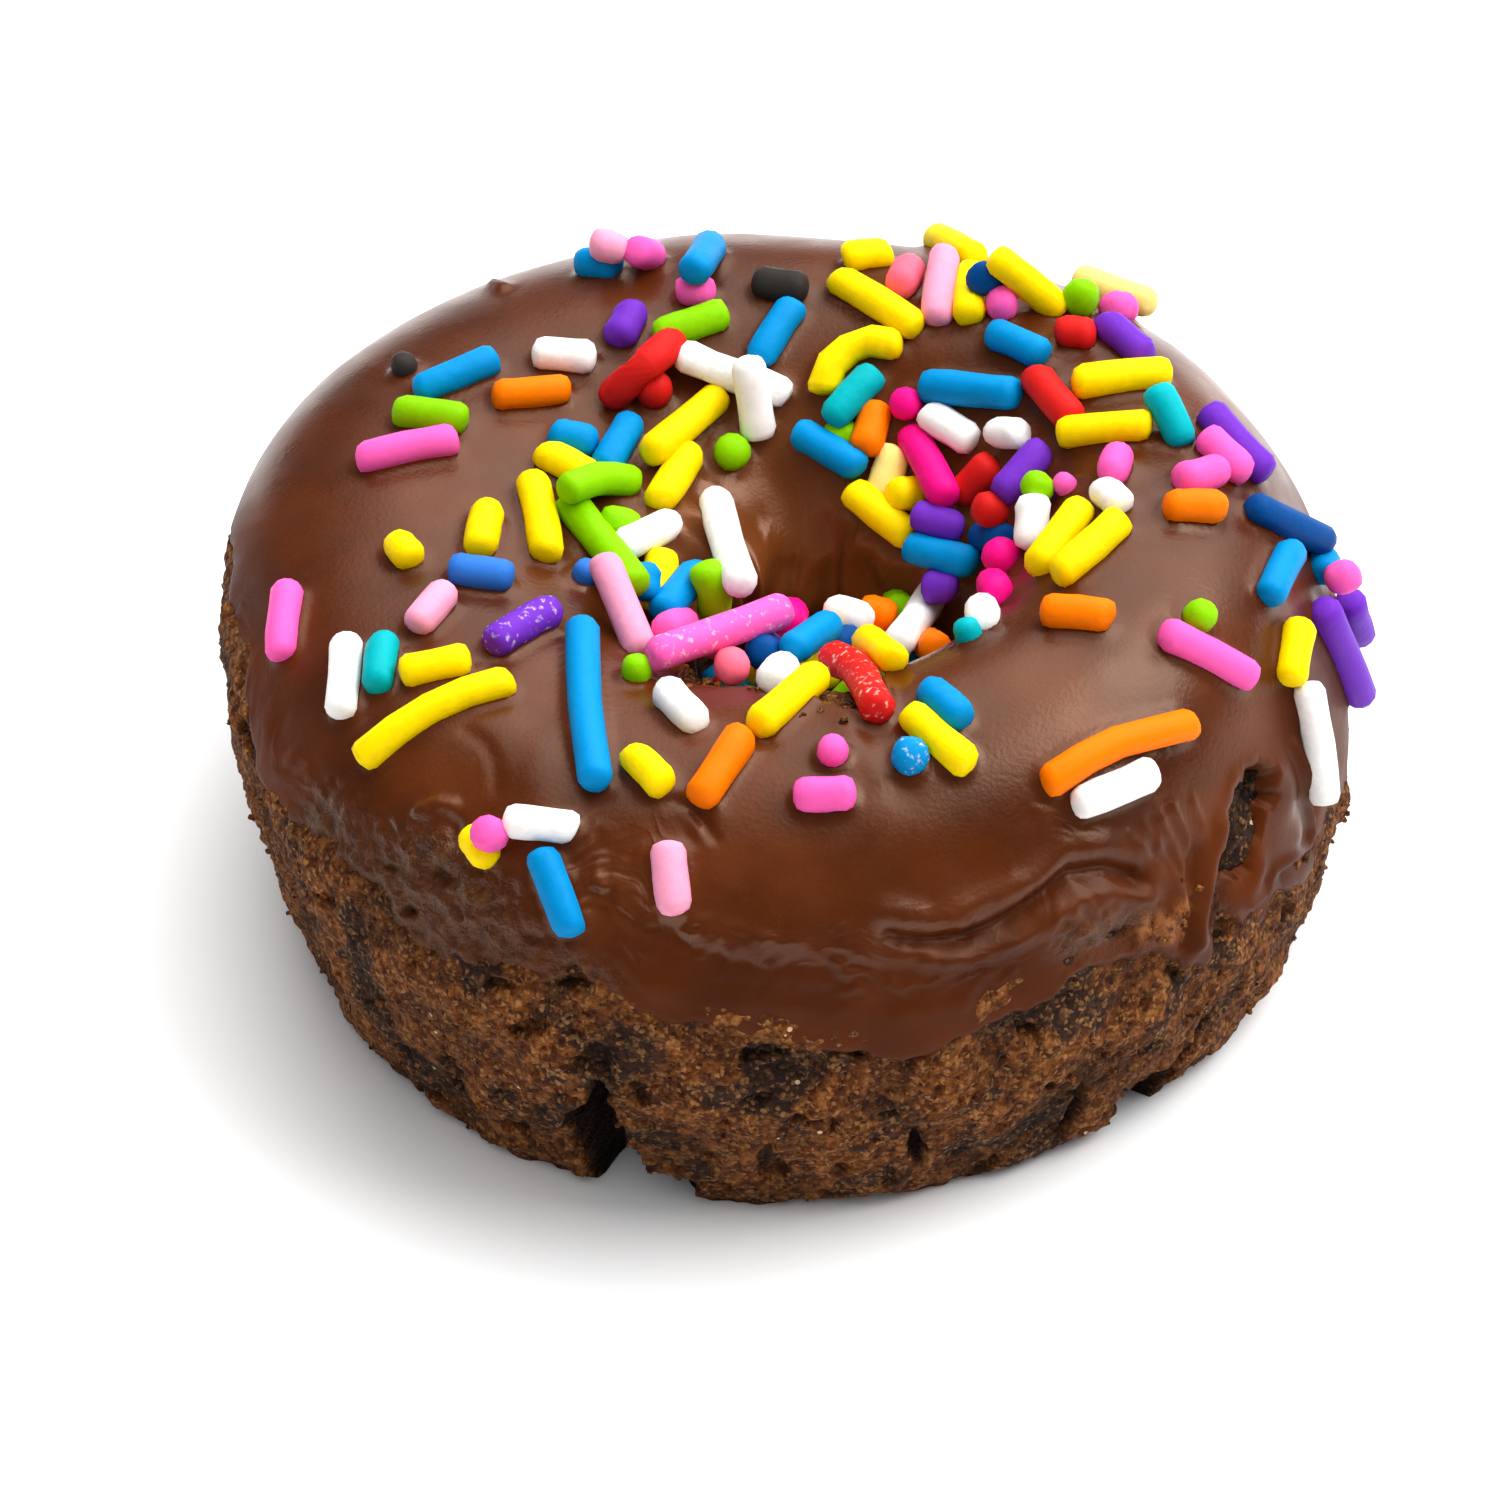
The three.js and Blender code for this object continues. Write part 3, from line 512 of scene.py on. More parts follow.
# ridges (+) and grooves (-): path, half width in mm, height in mm
frostingRidges = {
    "foldLip": ([(884, 914), (929, 917), (960, 914), (1000, 898), (1036, 877), (1068, 852), (1105, 846),
                 (1135, 853)], 0.95, 0.42),
    "foldGroove": ([(890, 938), (929, 942), (965, 939), (1004, 923), (1040, 901), (1071, 874), (1107, 870),
                    (1134, 877)], 0.50, -0.66),
    "foldLedge": ([(925, 961), (970, 959), (1012, 945), (1046, 925), (1078, 899), (1110, 892), (1146, 896)],
                  0.60, 0.42),
    "flap": ([(1060, 925), (1100, 912), (1140, 903), (1168, 902)], 1.35, 0.42),
    "flapEnd": ([(1150, 872), (1174, 880), (1180, 903), (1168, 926)], 0.7, 0.34),
    "trough": ([(1196, 850), (1192, 876), (1191, 906), (1186, 944)], 0.50, -0.50),
    "finger": ([(1220, 826), (1214, 856), (1207, 888), (1201, 920), (1198, 940)], 0.55, 0.36),
    "fingerFoot": ([(1198, 930), (1196, 944)], 0.6, 0.16),
    "windowLeft": ([(1234, 778), (1222, 812), (1218, 846)], 0.5, 0.16),
    "windowTop": ([(1244, 770), (1256, 765), (1268, 774)], 0.6, 0.16),
    "lip": ([(1280, 776), (1285, 806), (1287, 832)], 1.4, 0.60),
    "lipRim": ([(1289, 746), (1297, 784), (1311, 828), (1306, 846), (1288, 856), (1272, 869), (1264, 888),
                (1246, 904)], 0.40, 0.42),
    "lipFoot": ([(1256, 868), (1250, 884), (1242, 898)], 0.85, 0.46),
    "lipGroove": ([(1284, 872), (1300, 862), (1318, 848)], 0.55, -0.35),
    "underWindow": ([(1226, 868), (1222, 890), (1216, 922)], 0.55, -0.62),
    "rodGroove": ([(1300, 690), (1307, 740), (1318, 806)], 0.9, -0.42),
    "rodGrooveLip": ([(1288, 690), (1291, 735), (1300, 790)], 0.45, 0.26),
    "fanA": ([(1160, 818), (1174, 846), (1182, 868)], 0.26, 0.20),
    "fanB": ([(1172, 806), (1188, 838), (1194, 862)], 0.24, 0.20),
    "fanC": ([(1146, 826), (1158, 848), (1172, 870)], 0.24, 0.16),
    "fanD": ([(1192, 800), (1203, 826)], 0.22, 0.14),
    "fanE": ([(1128, 832), (1140, 848), (1160, 866)], 0.26, 0.14),
    "creaseWest": ([(466, 732), (486, 746), (495, 762), (497, 790)], 0.45, -0.09),
    "creaseWestRise": ([(492, 726), (520, 744), (534, 768), (532, 800)], 2.1, 0.20),
    "creaseMid": ([(676, 800), (692, 806), (704, 822), (716, 838)], 0.30, -0.16),
    "creaseMidRise": ([(684, 792), (702, 798), (716, 814)], 0.6, 0.12),
    "dentEast": ([(868, 722), (884, 752), (900, 786)], 1.1, -0.16),
    "facetEast": ([(846, 722), (864, 748), (880, 774)], 0.8, 0.14),
    "farWallBulge": ([(690, 565), (740, 588), (800, 597), (850, 588), (880, 565)], 4.6, 3.0),
    "farWallKnob": ([(756, 548), (786, 544)], 1.5, 0.30),
    "farWallFold": ([(840, 470), (856, 520), (872, 566)], 1.2, 0.35),
    "nubWest": ([(212, 620), (217, 628)], 0.5, 0.55),
    "nubFar": ([(494, 284), (502, 287)], 0.5, 0.45),
    "shoulderTear": ([(418, 812), (436, 804), (452, 806)], 0.45, 0.34),
    "shoulderPit": ([(452, 826), (460, 836)], 0.6, -0.50),
    "bandA": ([(600, 905), (640, 925), (700, 950), (770, 965), (850, 970), (920, 968)], 0.55, -0.14),
    "bandB": ([(560, 880), (610, 880), (660, 905), (730, 930), (800, 942)], 0.5, 0.14),
    "bandC": ([(640, 985), (720, 1000), (800, 1012), (880, 1016), (960, 1004)], 0.9, 0.16),
}


def shapeFrosting():
    look = frostingLook
    # columns lie closer together at the front, where the wrinkles are
    fineAngles = np.linspace(0, 360, 1441)
    density = 1 + look["frontDensity"] * smooth(*look["frontFrom"], fineAngles) \
        * smooth(*look["frontTo"], fineAngles)
    total = np.concatenate([[0], np.cumsum((density[1:] + density[:-1]) / 2)])
    angles = np.interp(np.arange(look["columns"]) / look["columns"], total / total[-1], fineAngles)
    outer, inner = edgeTurns(angles)
    below = look["below"] * -footTurn / leaning("widest", angles)  # in degrees of turn
    turns = evenTurns(angles, outer - below, inner + below, look["topRows"], look["crowding"])
    spread = spreadRows(angles, look["topRows"])
    points, outward = formAt(spread, turns)
    arcs = arcAlong(points)
    fromHole = arcs[:, -1:] - arcs
    ramp, innerRamp = (wide * (1 + 0.4 * roundTheRing(angles, size, seed))[:, None]
                       for wide, size, seed in (look["ramp"], look["innerRamp"]))
    outerShare, innerShare = smooth(0, 1, arcs / ramp), smooth(0, 1, fromHole / innerRamp)
    keepOff = np.minimum(outerShare, innerShare)
    rise = look["dip"] * (keepOff - 1)
    # a soft rolled bead runs along most of the edge
    least, more, size, seed = look["bead"]
    rise = rise + bellCurve(arcs - ramp * 1.7, look["beadWide"]) \
        * (least + more * roundTheRing(angles, size, seed))[:, None]
    rise = rise + bellCurve(fromHole - innerRamp * 1.2, look["innerBeadWide"]) * look["innerBead"]
    for high, size in look["swell"]:
        rise = rise + high * noiseAt(points, size, size) * outerShare
    # folds, grooves and lips
    uneven = (1 + 0.5 * noiseAt(points, 2.2, 7.7)) * (0.25 + 0.75 * keepOff)
    for path, halfWide, high in frostingRidges.values():
        rise = rise + high * bellCurve(pathDistance(points, onForm(path)), halfWide) * uneven
    # wrinkles drawn out along the ring: coordinates that follow the surface
    around = np.radians(spread)
    flow = np.stack([np.cos(around) * look["flowReach"], np.sin(around) * look["flowReach"],
                     arcs + 3 * noiseAt(points, 7.0, 1.9)], -1)
    masks = {name: zoneMask(points, zones) for name, zones in frostingZones.items()}
    warp = noiseVectors(points, 1.9, (31.0, 43.0, 57.0))
    drawn = (flow + 1.6 * warp) / np.array(look["drawnOut"])
    wrinkle = smooth(*look["wrinkleLines"], np.abs(noiseAt(drawn, 1.0, 2.0))) \
        * smooth(*look["wrinklePatches"], noiseAt(points, 2.6, 27.0))
    cross = smooth(*look["crossLines"], np.abs(noiseAt(points + 1.1 * warp, look["crossSize"], 12.0))) \
        * smooth(*look["crossPatches"], noiseAt(points, 2.2, 67.0))
    rise = rise + (look["wrinkleHigh"] * wrinkle + look["crossHigh"] * cross) * masks["wrinkled"]
    rise = rise + look["streakHigh"] * wrinkle * masks["streaked"]
    # the whole edge carries a trace of the crumb below it, and the glazed patch most of it
    thin = np.clip(masks["glazed"] + look["thinAtEdge"] * smooth(ramp * 1.7, ramp * 0.4, arcs), 0, 1)
    rise = rise + look["crumbThrough"] * crumbRelief(points) * thin
    lumps = sum(high * noiseAt(points, size, seed) for high, size, seed in look["lumps"])
    rise = rise + (lumps - look["lumpsLower"]) * masks["glazed"]
    rise = rise - look["bareDeep"] * masks["bare"] * (1 + noiseAt(points, 0.9, 5.7))
    # the fold's end has torn off and is granular
    high, size, seed = look["tornGrain"]
    grains = high * (crumb["cellMean"] - cellsAt(points, size, seed))
    rise = rise + masks["torn"] * (look["tornHigh"] + grains)
    # the window down to the bare crumb
    fromWindow = pathDistance(points, windowPath) \
        + sum(much * noiseAt(points, size, seed) for much, size, seed in window["ragged"])
    hollow = smooth(window["halfWide"] + window["slope"], window["halfWide"] - window["slope"], fromWindow)
    placed = points + outward * (rise * (1 - hollow) - window["deep"] * hollow)[..., None]
    # the underside lies on the cake
    share = np.linspace(1, 0, look["underRows"] + 2)[1:-1]
    underTurns = turns[:, :1] + (turns[:, -1:] - turns[:, :1]) * share
    underPoints, underOut = formAt(spreadRows(angles, look["underRows"]), underTurns)
    under = underPoints - underOut * (look["thick"] + 0.5 * smooth(0, 1, hollow.max(1))[:, None])[..., None]
    # the skirt and the steep sides are dull, the lip and the glazed patch keep some shine
    steep = smooth(*look["steepRamp"], outward[..., 2]) * (turns < 90)
    onLip = bellCurve(pathDistance(points, onForm(frostingRidges["lip"][0])), look["lipWide"])
    masks["dull"] = np.clip(np.maximum(smooth(*look["dullRamp"], arcs), steep) + masks["torn"], 0, 1) \
        * (1 - look["glazeShine"] * masks["glazed"]) * (1 - look["lipShine"] * onLip)
    # painted light: the hole's inner wall is painted paler, to stand in for light falling on it
    masks["pale"] = smooth(*look["paleFrom"], turns) * smooth(*look["paleTo"], turns)
    masks["thin"] = np.clip(thin + smooth(*look["thinRamp"], keepOff) * look["thinAtRim"], 0, 1)
    return placed, outward, under, masks, flow


frostingPoints, frostingOut, frostingUnder, frostingMasks, frostingFlow = shapeFrosting()
frostingTree = treeOf(frostingPoints)
print("frosting shaped:", frostingPoints.shape)

sprinkleLook = {
    "radius": 1.0, "sunk": 0.34, "contact": 0.86, "bend": 0.035, "leaning": 0.55, "mayOverlap": 0.22,
    "sides": 12, "halfLength": 2.0, "cap": 0.6, "swell": 0.02, "taper": 0.03, "slant": 0.09,
    "rough": 0.045, "roughWithGrit": 0.10, "roughSize": 0.75,
    "thinToThick": (0.95, 1.04), "hiddenThinToThick": (0.94, 1.05), "ballRound": 0.65,
    "mostTries": 6000, "startOff": 0.6,
}
sprinkleColours = {
    "yellow": "#ffdc00", "blue": "#0086c6", "deep_blue": "#044688", "green": "#82c600", "white": "#faf8f4",
    "pink": "#f95db0", "magenta": "#ee1080", "light_pink": "#f79dbb", "orange": "#f87600", "red": "#ce1f1c",
    "teal": "#00aab2", "purple": "#6c2db2", "periwinkle": "#3070c8", "coral": "#f56a82", "cream": "#fade80",
    "black": "#332e2b"}
# Colour, then the ends (and bends) in pixels of the frame, with a height in mm where it lies in the pile.
# A single place is a stub seen from its end, with its width. Each is laid on what lies there already.
laidSprinkles = [
    # far side
    ("blue", (574, 262), (622, 265)), ("light_pink", (595, 243), (622, 250)),
    ("pink", (625, 245), (665, 262)), ("pink", (678, 292), (712, 290)), ("blue", (718, 234), (686, 283)),
    ("purple", (637, 303), (615, 345)), ("green", (653, 337), (728, 312)),
    ("black", (752, 281), (808, 289)), ("blue", (796, 300), (756, 363)), ("red", (654, 389), 38),
    ("red", (682, 335), (650, 361), (606, 402)), ("white", (532, 352), (596, 358)),
    ("white", (678, 353), (790, 396)), ("white", (747, 356), (760, 440)), ("black", (404, 366), 27),
    ("blue", (414, 392), (498, 357)), ("green", (393, 410), (468, 420)), ("pink", (356, 459), (458, 438)),
    ("orange", (492, 396), (571, 389)), ("yellow", (842, 258), (893, 252)),
    ("yellow", (925, 232), (985, 262)), ("yellow", (972, 260), (968, 325)),
    ("coral", (915, 258), (895, 295)), ("light_pink", (946, 246), (935, 326)),
    ("deep_blue", (980, 278), (996, 279)), ("pink", (1002, 304), 34), ("yellow", (992, 254), (1062, 312)),
    ("cream", (1073, 278), (1155, 305)), ("green", (1081, 297), 37), ("pink", (1110, 307), (1128, 308)),
    ("red", (1055, 330), (1096, 335)), ("purple", (1099, 318), (1150, 360)),
    ("blue", (987, 330), (1048, 357)), ("yellow", (832, 275), (922, 330)),
    ("yellow", (820, 394), (833, 362), (861, 342), (903, 344)), ("green", (834, 437), (852, 436)),
    ("teal", (877, 370), (828, 422)),
    # east side
    ("blue", (918, 385), (1021, 394)), ("red", (1030, 370), (1077, 425)),
    ("yellow", (1072, 383), (1172, 372)), ("yellow", (1057, 433), (1152, 425)),
    ("teal", (1155, 385), (1185, 446)), ("white", (923, 410), (976, 444)),
    ("white", (988, 432), (1030, 434)), ("purple", (1205, 408), (1268, 477)),
    ("pink", (1202, 433), (1248, 477)), ("pink", (1175, 482), (1227, 468)),
    ("orange", (1164, 505), (1224, 507)), ("blue", (1324, 556), (1324, 574)),
    ("deep_blue", (1247, 503), (1333, 545)), ("blue", (1295, 543), (1266, 604)), ("pink", (1343, 577), 35),
    ("purple", (1346, 590, 19.5), (1363, 646, 16.3)), ("purple", (1320, 600), (1364, 706)),
    ("yellow", (1300, 621), (1290, 685)), ("white", (1308, 683), (1326, 805)), ("green", (1200, 616), 33),
    ("pink", (1162, 630), (1258, 680)), ("white", (1074, 806), (1157, 771)),
    ("orange", (1044, 785), (1110, 745), (1197, 722)), ("orange", (1041, 610), (1113, 616)),
    # round the far wall of the hole
    ("orange", (878, 403), (864, 455)), ("blue", (795, 430), (863, 470)), ("cream", (897, 447), (880, 500)),
    ("magenta", (906, 404), 34), ("yellow", (898, 493), (914, 494)), ("red", (995, 460), (955, 500)),
    ("magenta", (908, 428), (949, 505)), ("yellow", (848, 487), (911, 538)),
    ("purple", (912, 513), (963, 530)), ("deep_blue", (970, 535), (1015, 540)), ("red", (990, 510), 36),
    ("blue", (904, 545), (977, 565)), ("purple", (1046, 446), (998, 498)),
    ("pink", (1122, 445), (1108, 483)), ("pink", (1065, 485), 24), ("green", (1037, 487), 32),
    ("white", (1095, 482), (1127, 510)), ("white", (1034, 495), (1029, 550)),
    ("yellow", (1085, 502), (1034, 571)), ("yellow", (1126, 515), (1055, 578)),
    ("magenta", (1002, 557), 38), ("magenta", (985, 572), (1005, 605)), ("purple", (932, 587), (948, 587)),
    ("white", (980, 598), (985, 628)), ("teal", (968, 632), 28),
    ("orange", (915, 637, 20.0), (950, 655, 22.0)), ("green", (893, 600, 18.0), (902, 616, 18.6)),
    ("white", (940, 583, 18.6), (892, 652, 21.8)),
    # west side and the pile at the hole's west rim
    ("yellow", (391, 535), (416, 564)), ("yellow", (490, 500), (478, 557)),
    ("periwinkle", (448, 568), (513, 578)), ("pink", (288, 582), (279, 661)),
    ("white", (347, 634), (340, 718)), ("teal", (384, 634), (376, 692)),
    ("light_pink", (450, 586), (412, 630)), ("purple", (487, 647), (558, 606)),
    ("yellow", (400, 673), (470, 658)), ("yellow", (359, 760), (407, 722), (453, 697), (513, 679)),
    ("blue", (549, 432), (597, 444)), ("blue", (635, 415), (600, 475)), ("yellow", (540, 450), (597, 480)),
    ("yellow", (531, 472), (549, 562)), ("yellow", (694, 446), (655, 508)),
    ("yellow", (725, 391), (646, 457)), ("green", (732, 452), 38), ("green", (600, 520), (640, 528)),
    ("yellow", (664, 550), (652, 612)), ("blue", (644, 574), (644, 592)), ("periwinkle", (586, 573), 28),
    ("blue", (704, 565), (657, 618)), ("green", (703, 562), (714, 590), (714, 622)),
    ("white", (677, 520), (616, 549)), ("green", (565, 497), (600, 540), (643, 592)),
    ("green", (558, 492), (600, 478), (642, 482)), ("light_pink", (602, 556), (643, 655)),
    ("blue", (581, 616), (596, 789)), ("green", (637, 670), 31), ("white", (712, 490), (744, 594)),
    # near rim
    ("magenta", (797, 600, 20.5), (783, 636, 22.0)), ("pink", (653, 634, 24.5), (698, 618, 22.5)),
    ("deep_blue", (776, 640, 22.0), (754, 660, 23.6)), ("orange", (865, 610, 19.5), (890, 618, 19.5)),
    ("deep_blue", (834, 645, 21.0), (852, 640, 21.0)), ("white", (827, 607, 21.0), (872, 622, 21.4)),
    ("coral", (732, 666, 25.0), 36), ("blue", (838, 619, 23.0), (784, 655, 24.2)),
    ("white", (794, 656, 24.2), (762, 690, 26.2)), ("pink", (648, 657), (790, 607, 24.6)),
    ("yellow", (857, 633, 25.2), (904, 667)), ("red", (822, 652, 25.4), (858, 670, 26.6), (884, 720)),
    ("orange", (745, 731), (697, 803)), ("yellow", (823, 670), (753, 729)),
    ("white", (660, 685), (702, 727)), ("yellow", (628, 749), (668, 789)), ("pink", (833, 751), 31),
    ("pink", (794, 795), (855, 793)), ("blue", (923, 685), (966, 722)), ("yellow", (906, 710), (972, 767)),
    ("blue", (910, 756), 37),
    # front
    ("yellow", (467, 831), (491, 861)), ("pink", (489, 834), 36), ("white", (504, 820), (577, 828)),
    ("blue", (540, 850), (572, 935)), ("light_pink", (667, 842), (675, 914)),
]
# frosting or sugar sticks to these: colour and first pixel
gritty = {("red", 822), ("blue", 910), ("purple", 487), ("white", 678), ("pink", 648)}
# how often each colour comes among those that don't show
hiddenColours = {"yellow": 6, "blue": 4, "green": 3, "white": 4, "pink": 4, "orange": 3, "red": 2,
                 "purple": 3, "teal": 2, "light_pink": 2, "magenta": 2, "deep_blue": 1}
pileColours = ["yellow", "blue", "pink", "green", "white", "orange", "purple", "teal", "red", "light_pink"]


def makeRod():
    look = sprinkleLook
    deselectAll()
    bpy.ops.mesh.primitive_cylinder_add(vertices=look["sides"], radius=1, depth=2 * look["halfLength"])
    rod = bpy.context.object
    rod.name = "sprinkle_rod"
    bpy.ops.object.mode_set(mode="EDIT")
    bpy.ops.mesh.select_mode(type="EDGE")
    bpy.ops.mesh.select_all(action="DESELECT")
    bpy.ops.object.mode_set(mode="OBJECT")
    for edge in rod.data.edges:  # the two round edges
        ends = [rod.data.vertices[i].co.z for i in edge.vertices]
        edge.select = abs(ends[0] - ends[1]) < 1e-4
    bpy.ops.object.mode_set(mode="EDIT")
    bpy.ops.mesh.bevel(offset=look["cap"], segments=2, profile=0.5, affect="EDGES")
    straight = look["halfLength"] - look["cap"]
    for share in (-0.5, 0.0, 0.5):
        bpy.ops.mesh.select_all(action="SELECT")
        bpy.ops.mesh.bisect(plane_co=(0, 0, share * straight), plane_no=(0, 0, 1))
    bpy.ops.object.mode_set(mode="OBJECT")
    bpy.ops.object.shade_smooth()
    return rod


rod = makeRod()
rodPoints = np.array([v.co for v in rod.data.vertices])
print("rod:", len(rod.data.polygons), "faces")


class Laid:  # what has been laid so far
    starts, ends, radii = np.zeros((0, 3)), np.zeros((0, 3)), np.zeros(0)
    placed = []


def fromLaid(point, radius):  # mm between a ball at the point and the laid ones
    if not len(Laid.radii):
        return 1e9
    here = np.array(point)
    along = Laid.ends - Laid.starts
    share = np.clip(np.einsum("ij,ij->i", here - Laid.starts, along)
                    / np.maximum(np.einsum("ij,ij->i", along, along), 1e-9), 0, 1)
    apart = np.linalg.norm(Laid.starts + share[:, None] * along - here, axis=1)
    return float((apart - (Laid.radii + radius) * sprinkleLook["contact"]).min())


def clearance(point, radius):  # mm that a ball at the point has to spare
    free = fromLaid(point, radius)
    for tree, room in ((frostingTree, radius - sprinkleLook["sunk"]), (cakeTree, radius * 0.8)):
        spot, normal, _, distance = tree.find_nearest(point)
        free = min(free, (distance if (point - spot).dot(normal) >= 0 else -distance) - room)
    return free


# how a resting place is looked for along the view: lengths in mm, stride as a share of the free length
search = {"halfStretch": 46, "mostSteps": 120, "leastStep": 0.05, "stride": 0.6, "touching": 0.02}


def restingSpot(pixel, radius):  # first place along the view where a ball rests
    way = viewWay(pixel)
    if len(pixel) == 3:  # in the pile the height is given
        return (pixel[2] - eyePlace.z) / way.z, way
    travelled, farthest = view["distance"] - search["halfStretch"], view["distance"] + search["halfStretch"]
    best, bestFree, lastFree = None, 1e9, 1e9
    for _ in range(search["mostSteps"]):
        free = clearance(eyePlace + way * travelled, radius)
        if free < bestFree:
            best, bestFree = travelled, free
        if free < search["touching"] or travelled > farthest:
            break
        # one that passes close by leans there
        if free > bestFree + search["leastStep"] and bestFree < sprinkleLook["leaning"]:
            break
        travelled += max(min(free, lastFree) * search["stride"], search["leastStep"])
        lastFree = free
    return best, way


def through(points, count):  # a smooth line through the given points
    padded = [2 * points[0] - points[1], *points, 2 * points[-1] - points[-2]]
    line = []
    for k in range(1, len(padded) - 2):
        a, b, c, d = padded[k - 1:k + 3]
        for step in range(count):
            t = step / count
            line.append(0.5 * (2 * b + (c - a) * t + (2 * a - 5 * b + 4 * c - d) * t ** 2
                               + (3 * b - a - 3 * c + d) * t ** 3))
    return np.array([*line, padded[-2]])


def addLaid(colour, line, radius, shade, grit=0.0, ball=False):
    Laid.starts = np.concatenate([Laid.starts, line[:-1]])
    Laid.ends = np.concatenate([Laid.ends, line[1:]])
    Laid.radii = np.concatenate([Laid.radii, np.full(len(line) - 1, radius)])
    Laid.placed.append({"colour": colour, "line": line, "radius": radius, "shade": shade, "grit": grit,
                        "ball": ball})


def layStub(colour, pixel, width, shade, grit):  # seen from its end
    radius = width / 2 / (view["focal"] / view["distance"])
    travelled, way = restingSpot(pixel, radius)
    middle = np.array(eyePlace + way * travelled)
    out = np.array(frostingTree.find_nearest(Vector(middle))[1]) * 0.15
    addLaid(colour, np.array([middle - out, middle + out]), radius, shade, grit, ball=True)


def layPictured(entry, draw):
    colour, *spots = entry
    grit = 1.0 if (colour, spots[0][0]) in gritty else 0.0
    shade = draw.uniform(-1, 1)
    if isinstance(spots[1], (int, float)):
        layStub(colour, *spots, shade, grit)
        return
    heights = [spot[2:] for spot in spots]
    spots = [Vector(spot[:2]) for spot in spots]
    radius = sprinkleLook["radius"] * draw.uniform(*sprinkleLook["thinToThick"])
    inset = min(radius * view["focal"] / view["distance"], 0.42 * (spots[-1] - spots[0]).length)
    spots[0] = spots[0] + (spots[1] - spots[0]).normalized() * inset
    spots[-1] = spots[-1] + (spots[-2] - spots[-1]).normalized() * inset
    rests = [restingSpot((*spot, *height), radius) for spot, height in zip(spots, heights)]
    reaches = [travelled for travelled, _ in rests]
    for _ in range(5):  # lift where the middle would sink too deep
        ends = [np.array(eyePlace + way * reach) for (_, way), reach in zip(rests, reaches)]
        line = through(ends, 5)
        sunk = max(0.0, *[-clearance(Vector(point), radius) for point in line[1:-1]])
        if sunk <= sprinkleLook["mayOverlap"]:
            break
        reaches = [reach - (sunk - sprinkleLook["mayOverlap"]) * 0.8 for reach in reaches]
    if len(spots) == 2:  # hardly any real one is quite straight
        bow = draw.uniform(-1, 1) * sprinkleLook["bend"] * np.linalg.norm(ends[1] - ends[0])
        across = np.cross(ends[1] - ends[0], np.array(rests[0][1]))
        across /= max(np.linalg.norm(across), 1e-6)
        line = through([ends[0], (ends[0] + ends[1]) / 2 + across * bow * 0.5, ends[1]], 4)
    addLaid(colour, line, radius, shade, grit)


# those that don't show, on the back and on the hole's near wall: degrees, lengths in mm
hiddenLook = {
    "count": 12, "seed": 27, "atBack": 0.86, "goldenShare": 0.618, "backAngles": (8, 172),
    "wallAngles": (215, 330), "backTurns": (16, 66), "wallTurns": (125, 165), "lengths": (2.6, 7.5, 4.2),
    "arch": 0.22, "bow": 0.25, "roomBetween": 1.1, "roomToView": 1.3}


def hiddenBehind(probe, way):  # whether frosting or cake hides it from the camera
    start = probe + way * sprinkleLook["startOff"]
    return any(tree.ray_cast(start, way)[0] is not None for tree in (frostingTree, cakeTree))


def seen(point):  # whether the camera sees any of a ball at the point
    way, room = (eyePlace - point).normalized(), hiddenLook["roomToView"]
    return not all(hiddenBehind(point + eyeRight * right + eyeUp * up, way)
                   for right, up in ((0, 0), (0, room), (room, 0), (-room, 0)))


def layHidden(draw):
    look = hiddenLook
    names = [name for name, count in hiddenColours.items() for _ in range(count)]
    first, last = look["backAngles"]
    done, tries = 0, 0
    while done < look["count"] and tries < sprinkleLook["mostTries"]:
        tries += 1
        back = draw.random() < look["atBack"]
        even = first + (last - first) * (tries * look["goldenShare"] % 1)
        angle = even if back else draw.uniform(*look["wallAngles"])
        turn = draw.uniform(*look["backTurns" if back else "wallTurns"])
        length = draw.triangular(*look["lengths"]) - 2 * sprinkleLook["radius"]
        heading = draw.uniform(0, math.pi)
        radius = sprinkleLook["radius"] * draw.uniform(*sprinkleLook["hiddenThinToThick"])
        colour, shade = draw.choice(names), draw.uniform(-1, 1)
        bow = draw.uniform(-1, 1) * look["bow"]
        spot, out = (Vector(v.tolist()) for v in formAt(np.array(angle), np.array(turn)))
        sideways = out.orthogonal().normalized()
        ahead = sideways * math.cos(heading) + out.cross(sideways) * math.sin(heading)
        ends = []
        for side in (-0.5, 0.5):
            hit, normal, _, _ = frostingTree.find_nearest(spot + ahead * (side * length))
            ends.append(hit + normal * (radius - sprinkleLook["sunk"]))
        middle = (ends[0] + ends[1]) / 2
        spots = (*ends, middle)
        if any(seen(point) for point in spots) \
                or min(fromLaid(point, radius) for point in spots) < look["roomBetween"]:
            continue
        middle = middle + out * look["arch"] + out.cross(ahead) * bow
        addLaid(colour, through([np.array(point) for point in (ends[0], middle, ends[1])], 4), radius, shade)
        done += 1
    return done


# hidden ones in the hole, under those that show: degrees, lengths in mm
pileLook = {
    "count": 34, "seed": 28, "angles": (195, 350), "reach": (2.5, 8.2), "height": (13, 24.5),
    "steepness": 0.6, "halfLength": (1.0, 2.4), "gap": (-0.25, 0.12), "behindBy": 0.8, "hidesWithin": 0.85}


def covered(point):  # whether anything laid so far hides a point
    way = (eyePlace - point).normalized()
    if hiddenBehind(point, way):
        return True
    towards, here = np.array(way), np.array(point)
    for laid in Laid.placed:
        ahead = (laid["line"] - here) @ towards
        aside = np.linalg.norm(laid["line"] - here - ahead[:, None] * towards, axis=1)
        if np.any((ahead > pileLook["behindBy"]) & (aside < laid["radius"] * pileLook["hidesWithin"])):
            return True
    return False


